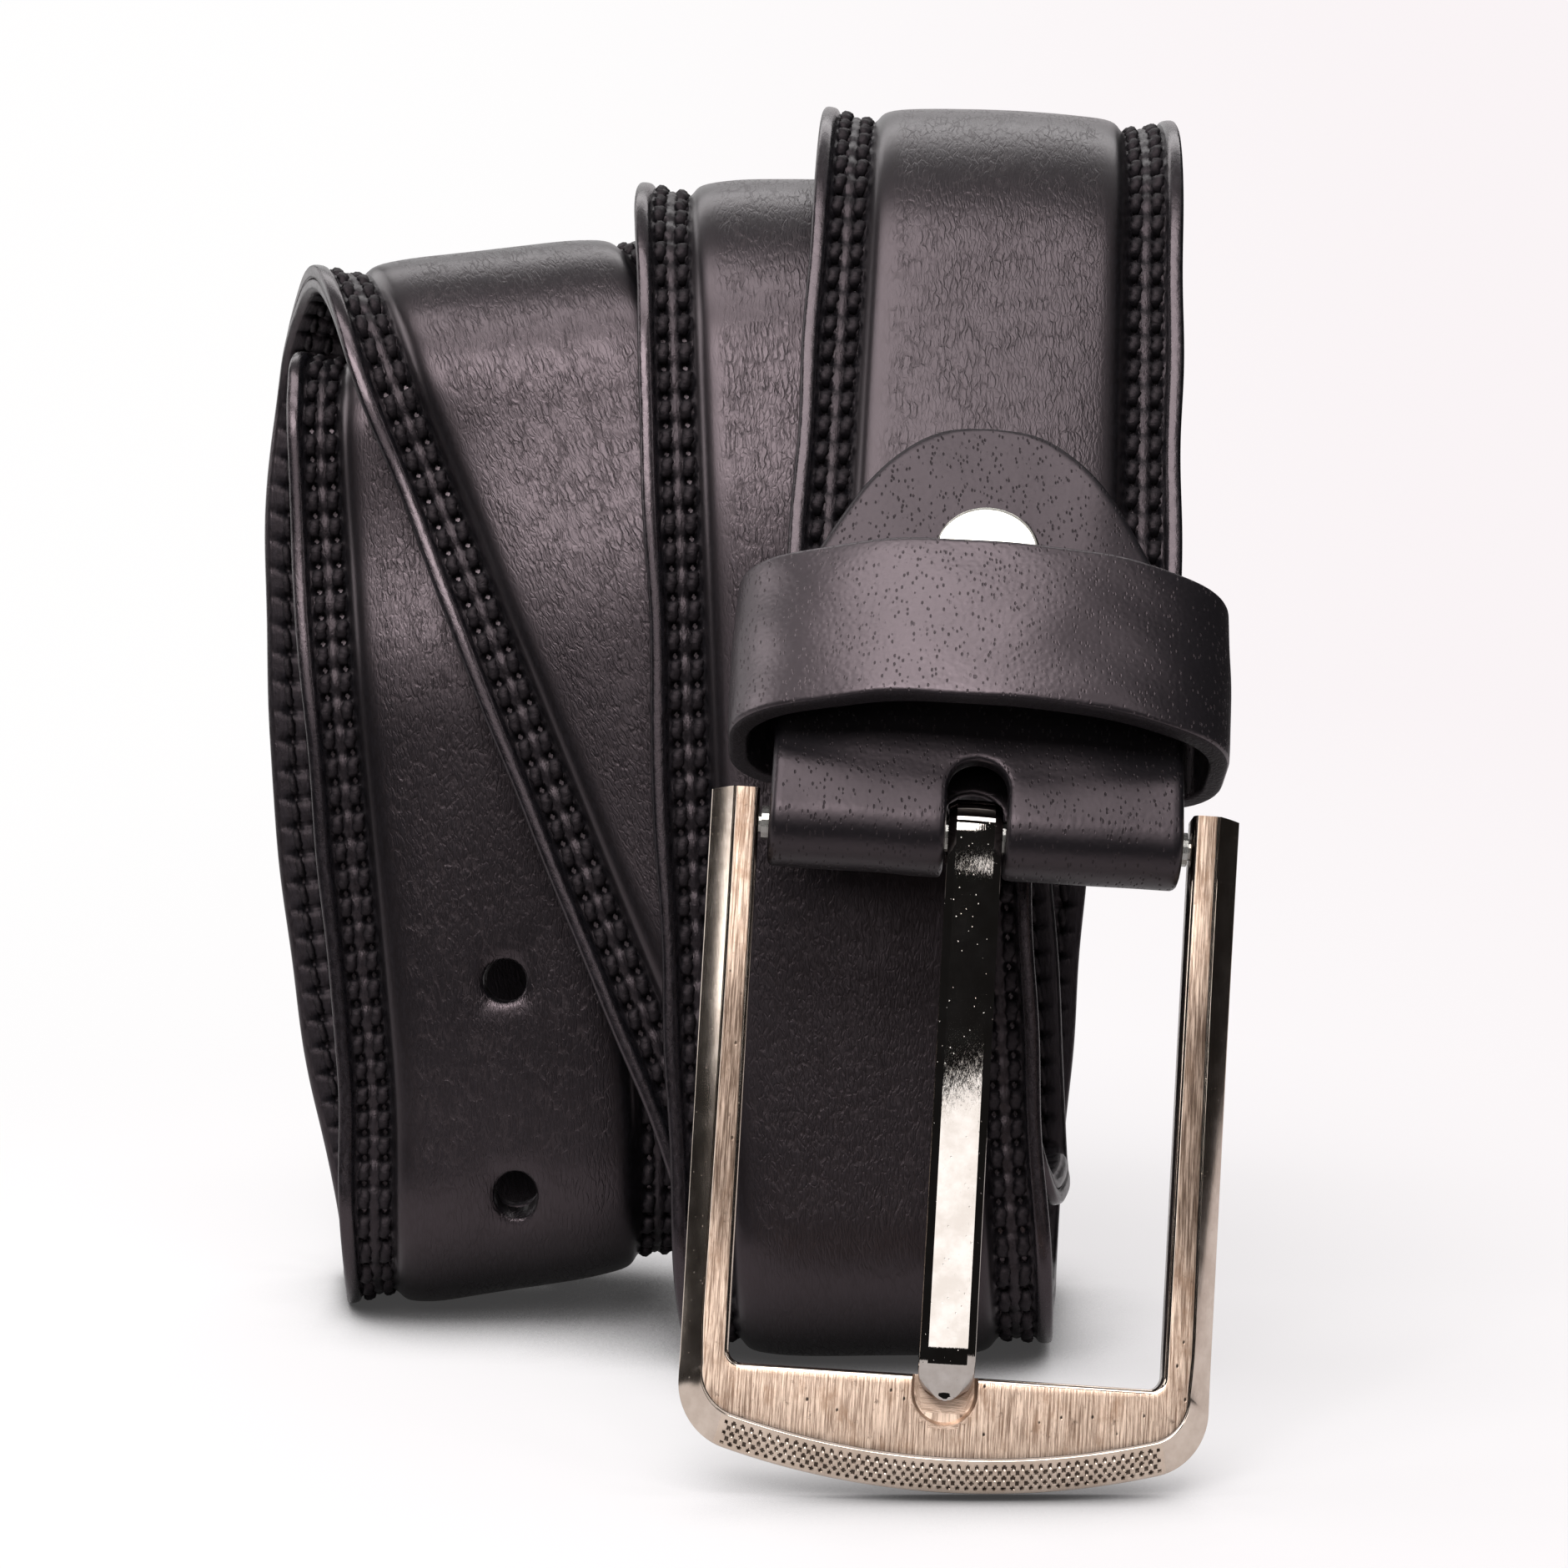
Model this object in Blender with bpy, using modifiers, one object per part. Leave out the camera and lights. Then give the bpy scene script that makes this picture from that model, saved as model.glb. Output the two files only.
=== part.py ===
"""A padded leather belt with a pin buckle, rolled up and standing, built from its separate pieces.

The strap is drawn flat at its real length and wound along one route.  Across, depth and height
of the model are X, Y and Z, the buckle faces -Y, and the roll stands on Z = 0.
Sizes below are millimetres and degrees.
"""
import bpy
import bmesh
import numpy as np
from math import acos, atan2, ceil, cos, hypot, pi, radians, sin, sqrt
from mathutils import Matrix, Vector

MM = 0.001
FIT = 0.3
FLOOR_CUT = 0.5

# Strap layers
STRAP_WIDTH = 38.0
LINING_THICK = 1.5
FACE_THICK = 1.45
FILLER_THICK = 1.25
FILLER_ROOM = 0.05
ROOF_THIN = 0.15
CROWN_FALL = 0.65
CROWN_FLANK = 1.0
CROWN_ROLL = 4.2
FILLER_INSET = 2.2
CAVITY_ROOM = 2.4
LIP_WIDTH = 1.7
CHANNEL_DEPTH = 0.7
EDGE_ROUND = 0.25
STRAP_START = 8.0
TIP_LENGTH = 16.0
TIP_BLUNT = 2.5
FILLER_SHORT = 4.0

# Holes punched through the strap
HOLE_COUNT = 5
HOLE_PITCH = 22.5
HOLE_WIDTH = 5.0
HOLE_TO_TIP = 108.0
HOLE_SIDES = 12

# Stitching: two rows at each edge, in a channel between the lip and the foot of the crown
STITCH_INSET = 2.6
STITCH_APART = 2.2
STITCH_TO_CROWN = 1.0
THREAD_WIDTH = 0.7
THREAD_HIGH = 0.5
BOBBIN_HIGH = 0.45
THREAD_INSET = 4.0
BOBBIN_INSET = 4.2
THREAD_SHORT = 3.0

# Chape: the leather that folds round the buckle bar and clasps the strap end.  Its outline
# gives how far each place is from the tongue's tip and how far it is drawn in from the side.
CHAPE_THICK = 1.8
CHAPE_LONG = 41.8
CHAPE_OUTLINE = ((31.8, 0.0), (17.8, 0.0), (14.8, 1.1), (12.3, 3.0), (9.8, 5.8), (6.8, 8.4),
                 (3.8, 10.7), (1.3, 13.4), (0.0, 16.0))
SLOT_ROOM = 2.45

# Post screw that clamps the chape and the strap
POST_AT = 26.8
POST_HEAD = 10.0
POST_HEAD_THICK = 1.1
POST_WALL = 0.65
POST_EDGE = 0.3
POST_SHORT = 0.4
SCREW_HEAD = 7.6
SCREW_HEAD_THICK = 0.9
SCREW_SHANK = 2.6
SCREW_LENGTH = 4.6
SCREW_POINT = 0.4
SCREW_EDGE = 0.5
SCREW_SLOT = 1.0
SCREW_SLOT_DEEP = 0.45
BORE_SPARE = 1.0

# Keeper loop
KEEPER_AT = 7.2
KEEPER_HIGH = 16.6
KEEPER_WALL = 1.9
KEEPER_SLACK = 2.5
KEEPER_RISE = 9.8
KEEPER_CORNER = 3.5
KEEPER_FLAT = 6.0
KEEPER_ARCH_BELOW = 3.1
KEEPER_SEAM = 0.4
STAPLE_WIRE = 0.8
STAPLE_SPAN = 6.0
STAPLE_UNDER = 0.7
STAPLE_INSET = 4.5

# Buckle
WINDOW_SLACK = 1.0
WINDOW_LONG = 49.3
WINDOW_CORNER = 1.2
BUCKLE_RAIL = 4.5
BUCKLE_THICK = 4.0
BUCKLE_END = 2.8
BUCKLE_FOOT = 10.2
BUCKLE_BOW = 4.0
BUCKLE_CORNER = 6.0
BUCKLE_BEVEL = 2.0
BUCKLE_EASE = 0.4
BUCKLE_LEAN = 16.0
BUCKLE_TAPER = 0.8
NOTCH_LONG = 4.2
NOTCH_DEEP = 1.1
BAR_WIDTH = 3.2
BAR_SLACK = 0.5
BAR_PIN = 2.0
BAR_PIN_SHORT = 1.9
PRONG_WIDTH = 5.0
PRONG_THICK = 2.0
PRONG_EYE_WALL = 1.4
PRONG_FACET = 0.7
PRONG_TIP_LONG = 6.0
PRONG_TIP_FALL = 0.25
PRONG_NOSE = 1.2
PRONG_NOSE_FALL = 0.9
PRONG_CHIN = 0.6
PRONG_CHIN_BACK = 0.8

# Places across of the strap's surfaces, from its middle line
HALF = STRAP_WIDTH / 2
ROW_OUTER = HALF - STITCH_INSET
ROW_INNER = ROW_OUTER - STITCH_APART
CROWN_FOOT = ROW_INNER - STITCH_TO_CROWN
CROWN_SIDE = CROWN_FOOT - CROWN_FLANK
CROWN_FLAT = CROWN_SIDE - CROWN_ROLL
FILLER_SIDE = CROWN_SIDE - FILLER_INSET
CAVITY_SIDE = FILLER_SIDE + CAVITY_ROOM

# Heights of the strap's surfaces above its middle, where the two leathers meet
LINING_TOP = -FIT / 2
LINING_LOW = LINING_TOP - LINING_THICK
FACE_LOW = FIT / 2
LIP_TOP = FACE_LOW + FACE_THICK
CHANNEL_TOP = LIP_TOP - CHANNEL_DEPTH
FILLER_LOW = LINING_TOP + FIT
FILLER_TOP = FILLER_LOW + FILLER_THICK
ROOF = FILLER_TOP + FIT + FILLER_ROOM
CROWN_TOP = ROOF + FACE_THICK - ROOF_THIN
CROWN_EDGE = CROWN_TOP - CROWN_FALL
STRAP_THICK = CROWN_TOP - LINING_LOW

# What takes its size from the strap, the bar, the prong and the screw
KEEPER_INSIDE = STRAP_WIDTH + 2 * KEEPER_SLACK
BUCKLE_WINDOW = STRAP_WIDTH + 2 * WINDOW_SLACK
BUCKLE_LONG = WINDOW_LONG + BUCKLE_FOOT
BAR_PIN_DEEP = BUCKLE_RAIL - BAR_PIN_SHORT
FOLD_INSIDE = STRAP_THICK / 2 + FIT
BAR_DROP = FOLD_INSIDE - BAR_WIDTH / 2 - BAR_SLACK
PRONG_EYE = BAR_WIDTH + 2 * (FIT + PRONG_EYE_WALL)
SLOT_WIDTH = PRONG_WIDTH + 2 * FIT
SLOT_TOP = PRONG_EYE / 2 - BAR_DROP + SLOT_ROOM
POST_BORE = SCREW_SHANK + 2 * FIT
POST_BORE_DEEP = SCREW_LENGTH + BORE_SPARE
POST_BARREL = POST_BORE + 2 * POST_WALL
STAPLE_DEEP = KEEPER_WALL - STAPLE_UNDER
THREAD_START = STRAP_START + THREAD_INSET
BOBBIN_START = CHAPE_LONG + BOBBIN_INSET
THREAD_TO_TIP = TIP_LENGTH + THREAD_SHORT
FILLER_TO_TIP = TIP_LENGTH + FILLER_SHORT
CUT_REACH = 3 * STRAP_THICK

# The roll: what the strap is wound round, from the buckle end to the tip.  Each top bend lies
# one pitch outside the next, and each bottom fold is flattened between a back and a front round.
TOP_DEPTH = 75.5
TOP_HEIGHT = 98.3
TOP_RADIUS = 8.0
TOP_GAP = 2.6
TOP_3_SAG = 0.3
FOLD_GAP = 1.9
FOLD_A_RADIUS = 10.5
FOLD_A_BACK = 71.0
FOLD_A_FRONT = 49.5
FOLD_B_RADIUS = 4.5
FOLD_B_BACK = 64.0
FOLD_B_FRONT = 50.5
FOLD_B_TILT = 12.0
FOLD_C_BACK_RADIUS = 6.0
FOLD_C_FRONT_RADIUS = 12.0
FOLD_C_BACK = 79.0
FOLD_C_FRONT = 71.0
FOLD_C_TILT = 9.0
FOLD_C_SINK = 0.15
TOP_PITCH = STRAP_THICK + TOP_GAP
FOLD_PITCH = STRAP_THICK + FOLD_GAP
FOLD_A_LEVEL = CROWN_TOP - FLOOR_CUT
FOLD_B_LEVEL = FOLD_A_LEVEL + FOLD_PITCH + HALF * sin(radians(FOLD_B_TILT))
FOLD_C_LEVEL = LIP_TOP - FOLD_C_SINK + HALF * sin(radians(FOLD_C_TILT))

# How far to the side the strap runs at the buckle, at the turns in order, and at the tip
RAMP_ACROSS = 17.6
TOP_1_ACROSS = 24.3
LEG_1_ACROSS = 18.5
FOLD_A_BACK_ACROSS = 12.0
FOLD_A_FRONT_ACROSS = 8.0
TOP_2_ACROSS = 2.5
LEG_2_ACROSS = 10.0
FOLD_B_BACK_ACROSS = 13.0
FOLD_B_FRONT_ACROSS = 11.5
LEG_3_ACROSS = 1.5
TOP_3_ACROSS = -34.0
LEG_4_UPPER_ACROSS = -40.7
LEG_4_LOWER_ACROSS = -40.0
FOLD_C_BACK_ACROSS = -32.0
FOLD_C_FRONT_ACROSS = -27.7
LEG_5_LOWER_ACROSS = -29.1
LEG_5_UPPER_ACROSS = -32.0
TOP_4_ACROSS = -36.0
TAIL_ACROSS = -29.0

# name, across, depth, height of the centre, radius of the strap's middle, tilt
FORMERS = (
    ("top_1", TOP_1_ACROSS, TOP_DEPTH, TOP_HEIGHT, TOP_RADIUS + 3 * TOP_PITCH, -2.3),
    ("fold_a_back", FOLD_A_BACK_ACROSS, FOLD_A_BACK, FOLD_A_LEVEL + FOLD_A_RADIUS, FOLD_A_RADIUS, 0.0),
    ("fold_a_front", FOLD_A_FRONT_ACROSS, FOLD_A_FRONT, FOLD_A_LEVEL + FOLD_A_RADIUS, FOLD_A_RADIUS,
     0.0),
    ("top_2", TOP_2_ACROSS, TOP_DEPTH, TOP_HEIGHT, TOP_RADIUS + 2 * TOP_PITCH, 0.0),
    ("fold_b_back", FOLD_B_BACK_ACROSS, FOLD_B_BACK, FOLD_B_LEVEL + FOLD_B_RADIUS, FOLD_B_RADIUS,
     FOLD_B_TILT),
    ("fold_b_front", FOLD_B_FRONT_ACROSS, FOLD_B_FRONT, FOLD_B_LEVEL + FOLD_B_RADIUS, FOLD_B_RADIUS,
     FOLD_B_TILT),
    ("top_3", TOP_3_ACROSS, TOP_DEPTH, TOP_HEIGHT - TOP_3_SAG, TOP_RADIUS + TOP_PITCH, 6.0),
    ("fold_c_back", FOLD_C_BACK_ACROSS, FOLD_C_BACK, FOLD_C_LEVEL + FOLD_C_BACK_RADIUS,
     FOLD_C_BACK_RADIUS, FOLD_C_TILT),
    ("fold_c_front", FOLD_C_FRONT_ACROSS, FOLD_C_FRONT, FOLD_C_LEVEL + FOLD_C_FRONT_RADIUS,
     FOLD_C_FRONT_RADIUS, FOLD_C_TILT),
    ("top_4", TOP_4_ACROSS, TOP_DEPTH, TOP_HEIGHT, TOP_RADIUS, 4.0),
)
# Places across on the legs between formers: (former before, share of the way, across)
LEG_POINTS = ((0, 0.5, LEG_1_ACROSS), (3, 0.5, LEG_2_ACROSS), (5, 0.2, LEG_3_ACROSS),
              (6, 0.35, LEG_4_UPPER_ACROSS), (6, 0.65, LEG_4_LOWER_ACROSS), (8, 0.25, LEG_5_LOWER_ACROSS),
              (8, 0.5, LEG_5_UPPER_ACROSS))
RAMP_SLOPE = 58.0
RAMP_LONG = 66.3
TAIL_LONG = 20.0
TAIL_LEAN = -12.0
ACROSS_SOFT = 22.0
BEND_SOFT = 3.0
TILT_SOFT = 10.0

# Spacing of the rings the wound pieces are made of, with one ring at each end of the flat that
# the roll rests on, and of the points that test the roll's gaps
RING_TURN = 24.0
RING_STEP = 50.0
SEAT_RISE = 0.05
SEAT_CLEAR = 5.0
ROUTE_STEP = 0.5
GAP_STEP = 2.5
SAME_TURN = 60.0

# Colours: base colour, roughness, metallic
LEATHER = (0.020, 0.018, 0.020, 0.42, 0.0)
EDGE_LEATHER = (0.026, 0.023, 0.024, 0.55, 0.0)
LINING_LEATHER = (0.030, 0.027, 0.027, 0.60, 0.0)
PADDING = (0.35, 0.30, 0.24, 0.90, 0.0)
THREAD = (0.010, 0.010, 0.011, 0.45, 0.0)
GUNMETAL = (0.42, 0.34, 0.28, 0.36, 1.0)
DARK_NICKEL = (0.30, 0.28, 0.27, 0.12, 1.0)
BRIGHT_NICKEL = (0.80, 0.79, 0.77, 0.10, 1.0)
WIRE = (0.62, 0.61, 0.59, 0.30, 1.0)


def clear_scene():
    for item in list(bpy.data.objects):
        bpy.data.objects.remove(item, do_unlink=True)


def new_collection(name, hidden=False):
    group = bpy.data.collections.new(name)
    bpy.context.scene.collection.children.link(group)
    group.hide_render = hidden
    return group


def material(name, values):
    mat = bpy.data.materials.new(name)
    mat.use_nodes = True
    shader = mat.node_tree.nodes["Principled BSDF"]
    shader.inputs["Base Color"].default_value = (values[0], values[1], values[2], 1.0)
    shader.inputs["Roughness"].default_value = values[3]
    shader.inputs["Metallic"].default_value = values[4]
    mat.diffuse_color = (values[0], values[1], values[2], 1.0)
    return mat


def mesh_object(name, points, faces, group):
    mesh = bpy.data.meshes.new(name)
    mesh.from_pydata([tuple(float(c) * MM for c in p) for p in points], [], faces)
    body = bmesh.new()
    body.from_mesh(mesh)
    bmesh.ops.recalc_face_normals(body, faces=body.faces)
    body.to_mesh(mesh)
    body.free()
    item = bpy.data.objects.new(name, mesh)
    group.objects.link(item)
    return item


def empty(name, group, parent=None, matrix=None):
    item = bpy.data.objects.new(name, None)
    item.empty_display_size = 0.01
    group.objects.link(item)
    item.parent = parent
    if matrix is not None:
        item.matrix_local = matrix
    return item


def dress(item, name, values, smooth=True):
    item.data.materials.clear()
    item.data.materials.append(material(name, values))
    if smooth:
        item.data.shade_smooth()
        item.data.set_sharp_from_angle(angle=radians(35.0))


def bake(item):
    """Turn an object's modifiers into mesh."""
    bpy.context.view_layer.update()
    graph = bpy.context.evaluated_depsgraph_get()
    mesh = bpy.data.meshes.new_from_object(item.evaluated_get(graph), depsgraph=graph)
    item.modifiers.clear()
    item.data = mesh
    return item


def cut(item, cutters):
    """Take the cutters out of an object and discard them."""
    for tool in cutters:
        change = item.modifiers.new("cut", "BOOLEAN")
        change.operation = "DIFFERENCE"
        change.solver = "EXACT"
        change.object = tool
    bake(item)
    for tool in cutters:
        bpy.data.objects.remove(tool, do_unlink=True)
    return item


def prism(name, outline, low, high, group):
    """An outline in X and Y drawn up from low to high."""
    count = len(outline)
    points = [(x, y, low) for x, y in outline] + [(x, y, high) for x, y in outline]
    faces = [tuple(range(count - 1, -1, -1)), tuple(range(count, 2 * count))]
    for i in range(count):
        j = (i + 1) % count
        faces.append((i, j, count + j, count + i))
    return mesh_object(name, points, faces, group)


def disc(radius, sides, centre=(0.0, 0.0)):
    return [(centre[0] + radius * cos(2 * pi * i / sides), centre[1] + radius * sin(2 * pi * i / sides))
            for i in range(sides)]


def turned(name, profile, sides, group):
    """A round piece about Z from a profile of radius and height, run from top to bottom."""
    mesh = bpy.data.meshes.new(name)
    points = [(r * MM, 0.0, z * MM) for r, z in profile]
    mesh.from_pydata(points, [(i, i + 1) for i in range(len(points) - 1)], [])
    item = bpy.data.objects.new(name, mesh)
    group.objects.link(item)
    spin = item.modifiers.new("turn", "SCREW")
    spin.axis = "Z"
    spin.steps = sides
    spin.render_steps = sides
    spin.use_merge_vertices = True
    spin.merge_threshold = 0.00001
    bake(item)
    body = bmesh.new()
    body.from_mesh(item.data)
    bmesh.ops.remove_doubles(body, verts=body.verts, dist=0.00001)
    bmesh.ops.recalc_face_normals(body, faces=body.faces)
    body.to_mesh(item.data)
    body.free()
    return item


def wire(name, points, radius, sides, group):
    """A bent wire with closed ends."""
    curve = bpy.data.curves.new(name, "CURVE")
    curve.dimensions = "3D"
    curve.bevel_depth = radius * MM
    curve.bevel_resolution = sides
    curve.use_fill_caps = True
    line = curve.splines.new("POLY")
    line.points.add(len(points) - 1)
    for spot, p in zip(line.points, points):
        spot.co = (p[0] * MM, p[1] * MM, p[2] * MM, 1.0)
    item = bpy.data.objects.new(name + "_curve", curve)
    group.objects.link(item)
    bpy.context.view_layer.update()
    graph = bpy.context.evaluated_depsgraph_get()
    mesh = bpy.data.meshes.new_from_object(item.evaluated_get(graph), depsgraph=graph)
    bpy.data.objects.remove(item, do_unlink=True)
    body = bmesh.new()
    body.from_mesh(mesh)
    bmesh.ops.remove_doubles(body, verts=body.verts, dist=0.00001)
    bmesh.ops.recalc_face_normals(body, faces=body.faces)
    body.to_mesh(mesh)
    body.free()
    made = bpy.data.objects.new(name, mesh)
    group.objects.link(made)
    return made


def soften(ends, values, at, reach):
    """A broken line through (ends, values), extended straight and averaged over reach each way."""
    ends = np.asarray(ends, float)
    values = np.asarray(values, float)
    first = (values[1] - values[0]) / (ends[1] - ends[0])
    last = (values[-1] - values[-2]) / (ends[-1] - ends[-2])
    total = np.zeros(len(at))
    shifts = np.linspace(-reach, reach, 45)
    for shift in shifts:
        spot = at + shift
        line = np.interp(spot, ends, values)
        line = np.where(spot < ends[0], values[0] + (spot - ends[0]) * first, line)
        line = np.where(spot > ends[-1], values[-1] + (spot - ends[-1]) * last, line)
        total += line
    return total / len(shifts)


def side_line(step):
    """The strap's middle seen from the end of the roll: depth, height and the former marks."""
    normal = pi / 2 + radians(RAMP_SLOPE)
    arrive = [normal]
    leave = []
    for near, far in zip(FORMERS[:-1], FORMERS[1:]):
        along = (far[2] - near[2], far[3] - near[3])
        turn = atan2(along[1], along[0]) + acos((near[4] - far[4]) / hypot(*along))
        leave.append(turn)
        arrive.append(turn)
    leave.append(radians(TAIL_LEAN))
    first = FORMERS[0]
    spot = np.array(first[2:4]) + first[4] * np.array((cos(normal), sin(normal)))
    ramp = np.array((sin(normal), -cos(normal)))
    points = [spot - ramp * RAMP_LONG * (1 - i / 60) for i in range(60)]
    marks = []
    for k, former in enumerate(FORMERS):
        centre = np.array(former[2:4])
        start = arrive[k]
        end = leave[k]
        while end > start:
            end -= 2 * pi
        while start - end > 2 * pi:
            end += 2 * pi
        count = max(10, int(former[4] * (start - end) / step))
        marks.append(len(points) + count / 2)
        for i in range(count + 1):
            turn = start + (end - start) * i / count
            points.append(centre + former[4] * np.array((cos(turn), sin(turn))))
        if k + 1 < len(FORMERS):
            after = FORMERS[k + 1]
            goal = np.array(after[2:4]) + after[4] * np.array((cos(end), sin(end)))
        else:
            goal = points[-1] + TAIL_LONG * np.array((sin(end), -cos(end)))
        here = points[-1]
        count = max(2, int(hypot(*(goal - here)) / step))
        last = count if k + 1 == len(FORMERS) else count - 1
        for i in range(1, last + 1):
            points.append(here + (goal - here) * i / count)
    points = np.array(points)
    steps = np.hypot(*np.diff(points, axis=0).T)
    run = np.concatenate(((0.0,), np.cumsum(steps)))
    marks = np.interp(marks, np.arange(len(run)), run)
    return run, points, marks


class Route:
    """The strap's middle line with its along, across and outward directions."""

    def __init__(self, step=ROUTE_STEP):
        run, points, marks = side_line(step)
        length = run[-1]
        at = np.arange(0.0, length, step)
        ends = [0.0]
        across = [RAMP_ACROSS]
        for k, former in enumerate(FORMERS):
            ends.append(marks[k])
            across.append(former[1])
            for before, share, place in LEG_POINTS:
                if before == k:
                    ends.append(marks[k] + share * (marks[k + 1] - marks[k]))
                    across.append(place)
        ends.append(length)
        across.append(TAIL_ACROSS)
        tilt_ends = [0.0] + list(marks) + [length]
        tilts = [FORMERS[0][5]] + [former[5] for former in FORMERS] + [0.0]
        x = soften(ends, across, at, ACROSS_SOFT)
        y = soften(run, points[:, 0], at, BEND_SOFT)
        z = soften(run, points[:, 1], at, BEND_SOFT)
        tilt = np.radians(soften(tilt_ends, tilts, at, TILT_SOFT))
        self.place = np.stack((x, y, z), axis=1)
        steps = np.linalg.norm(np.diff(self.place, axis=0), axis=1)
        self.run = np.concatenate(((0.0,), np.cumsum(steps)))
        self.along = np.gradient(self.place, axis=0)
        self.along /= np.linalg.norm(self.along, axis=1)[:, None]
        level = np.stack((np.cos(tilt), np.zeros(len(at)), np.sin(tilt)), axis=1)
        self.across = level - (level * self.along).sum(axis=1)[:, None] * self.along
        self.across /= np.linalg.norm(self.across, axis=1)[:, None]
        self.outward = np.cross(self.across, self.along)
        self.length = float(self.run[-1])
        bend = np.degrees(np.arccos(np.clip((self.along[1:] * self.along[:-1]).sum(axis=1), -1.0, 1.0)))
        self.turned = np.concatenate(((0.0,), np.cumsum(bend)))

    def at(self, table, run):
        return np.stack([np.interp(run, self.run, table[:, i]) for i in range(3)], axis=-1)

    def wind(self, flat):
        """Flat points (across, along, out) to their places on the roll."""
        flat = np.asarray(flat, float)
        run = flat[:, 1]
        over = np.clip(run - self.length, 0.0, None)[:, None]
        spot = self.at(self.place, run) + self.along[-1] * over
        return spot + self.at(self.across, run) * flat[:, :1] + self.at(self.outward, run) * flat[:, 2:3]

    def rings(self, start, end):
        """Stations from start to end, closer together where the strap bends."""
        load = self.run / RING_STEP + self.turned / RING_TURN
        low, high = np.interp((start, end), self.run, load)
        count = max(2, ceil(high - low))
        return list(np.interp(np.linspace(low, high, count + 1), load, self.run))


def between(stations, start, end):
    """The shared stations from start to end, so that layers keep their gaps on flat facets."""
    return [start] + [run for run in stations if start + 0.5 < run < end - 0.5] + [end]


def tip_share(run, tip):
    """Share of the full width left near the rounded tip."""
    into = (run - (tip - TIP_LENGTH)) / TIP_LENGTH
    if into <= 0.0:
        return 1.0
    return max(TIP_BLUNT / HALF, sqrt(max(0.0, 1.0 - into ** 2.6)))


def layer(name, profile, stations, tip, route, group, holes=(), floor=False):
    """One layer of the strap: rings of its profile, drilled flat and then wound.

    Every facet is split the same way across, so that layers that lie together stay apart.
    """
    count = len(profile)
    flat = []
    for run in stations:
        share = tip_share(run, tip)
        flat.extend((v * share, run, h) for v, h in profile)
    faces = [tuple(range(count)), tuple(range(len(flat) - count, len(flat)))]
    for i in range(len(stations) - 1):
        for j in range(count):
            left, right = sorted((j, (j + 1) % count), key=lambda at: profile[at][0])
            near = i * count
            far = near + count
            faces.append((near + left, near + right, far + right))
            faces.append((near + left, far + right, far + left))
    item = mesh_object(name, flat, faces, group)
    if holes:
        tools = [prism("hole", disc(width / 2, HOLE_SIDES, (0.0, run)), -CUT_REACH, CUT_REACH, group)
                 for run, width in holes]
        cut(item, tools)
    body = bmesh.new()
    body.from_mesh(item.data)
    bmesh.ops.triangulate(body, faces=body.faces)
    wound = route.wind(np.array([v.co[:] for v in body.verts]) / MM)
    if floor:
        wound[:, 2] = np.maximum(wound[:, 2], 0.0)
    for vert, spot in zip(body.verts, wound):
        vert.co = Vector(spot) * MM
    bmesh.ops.recalc_face_normals(body, faces=body.faces)
    body.to_mesh(item.data)
    body.free()
    return item


def mirrored(side):
    """A profile that runs from the left edge over to the right from its right half."""
    left = [(-v, h) for v, h in side]
    return left + [(v, h) for v, h in reversed(side) if v > 0.0]


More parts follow.
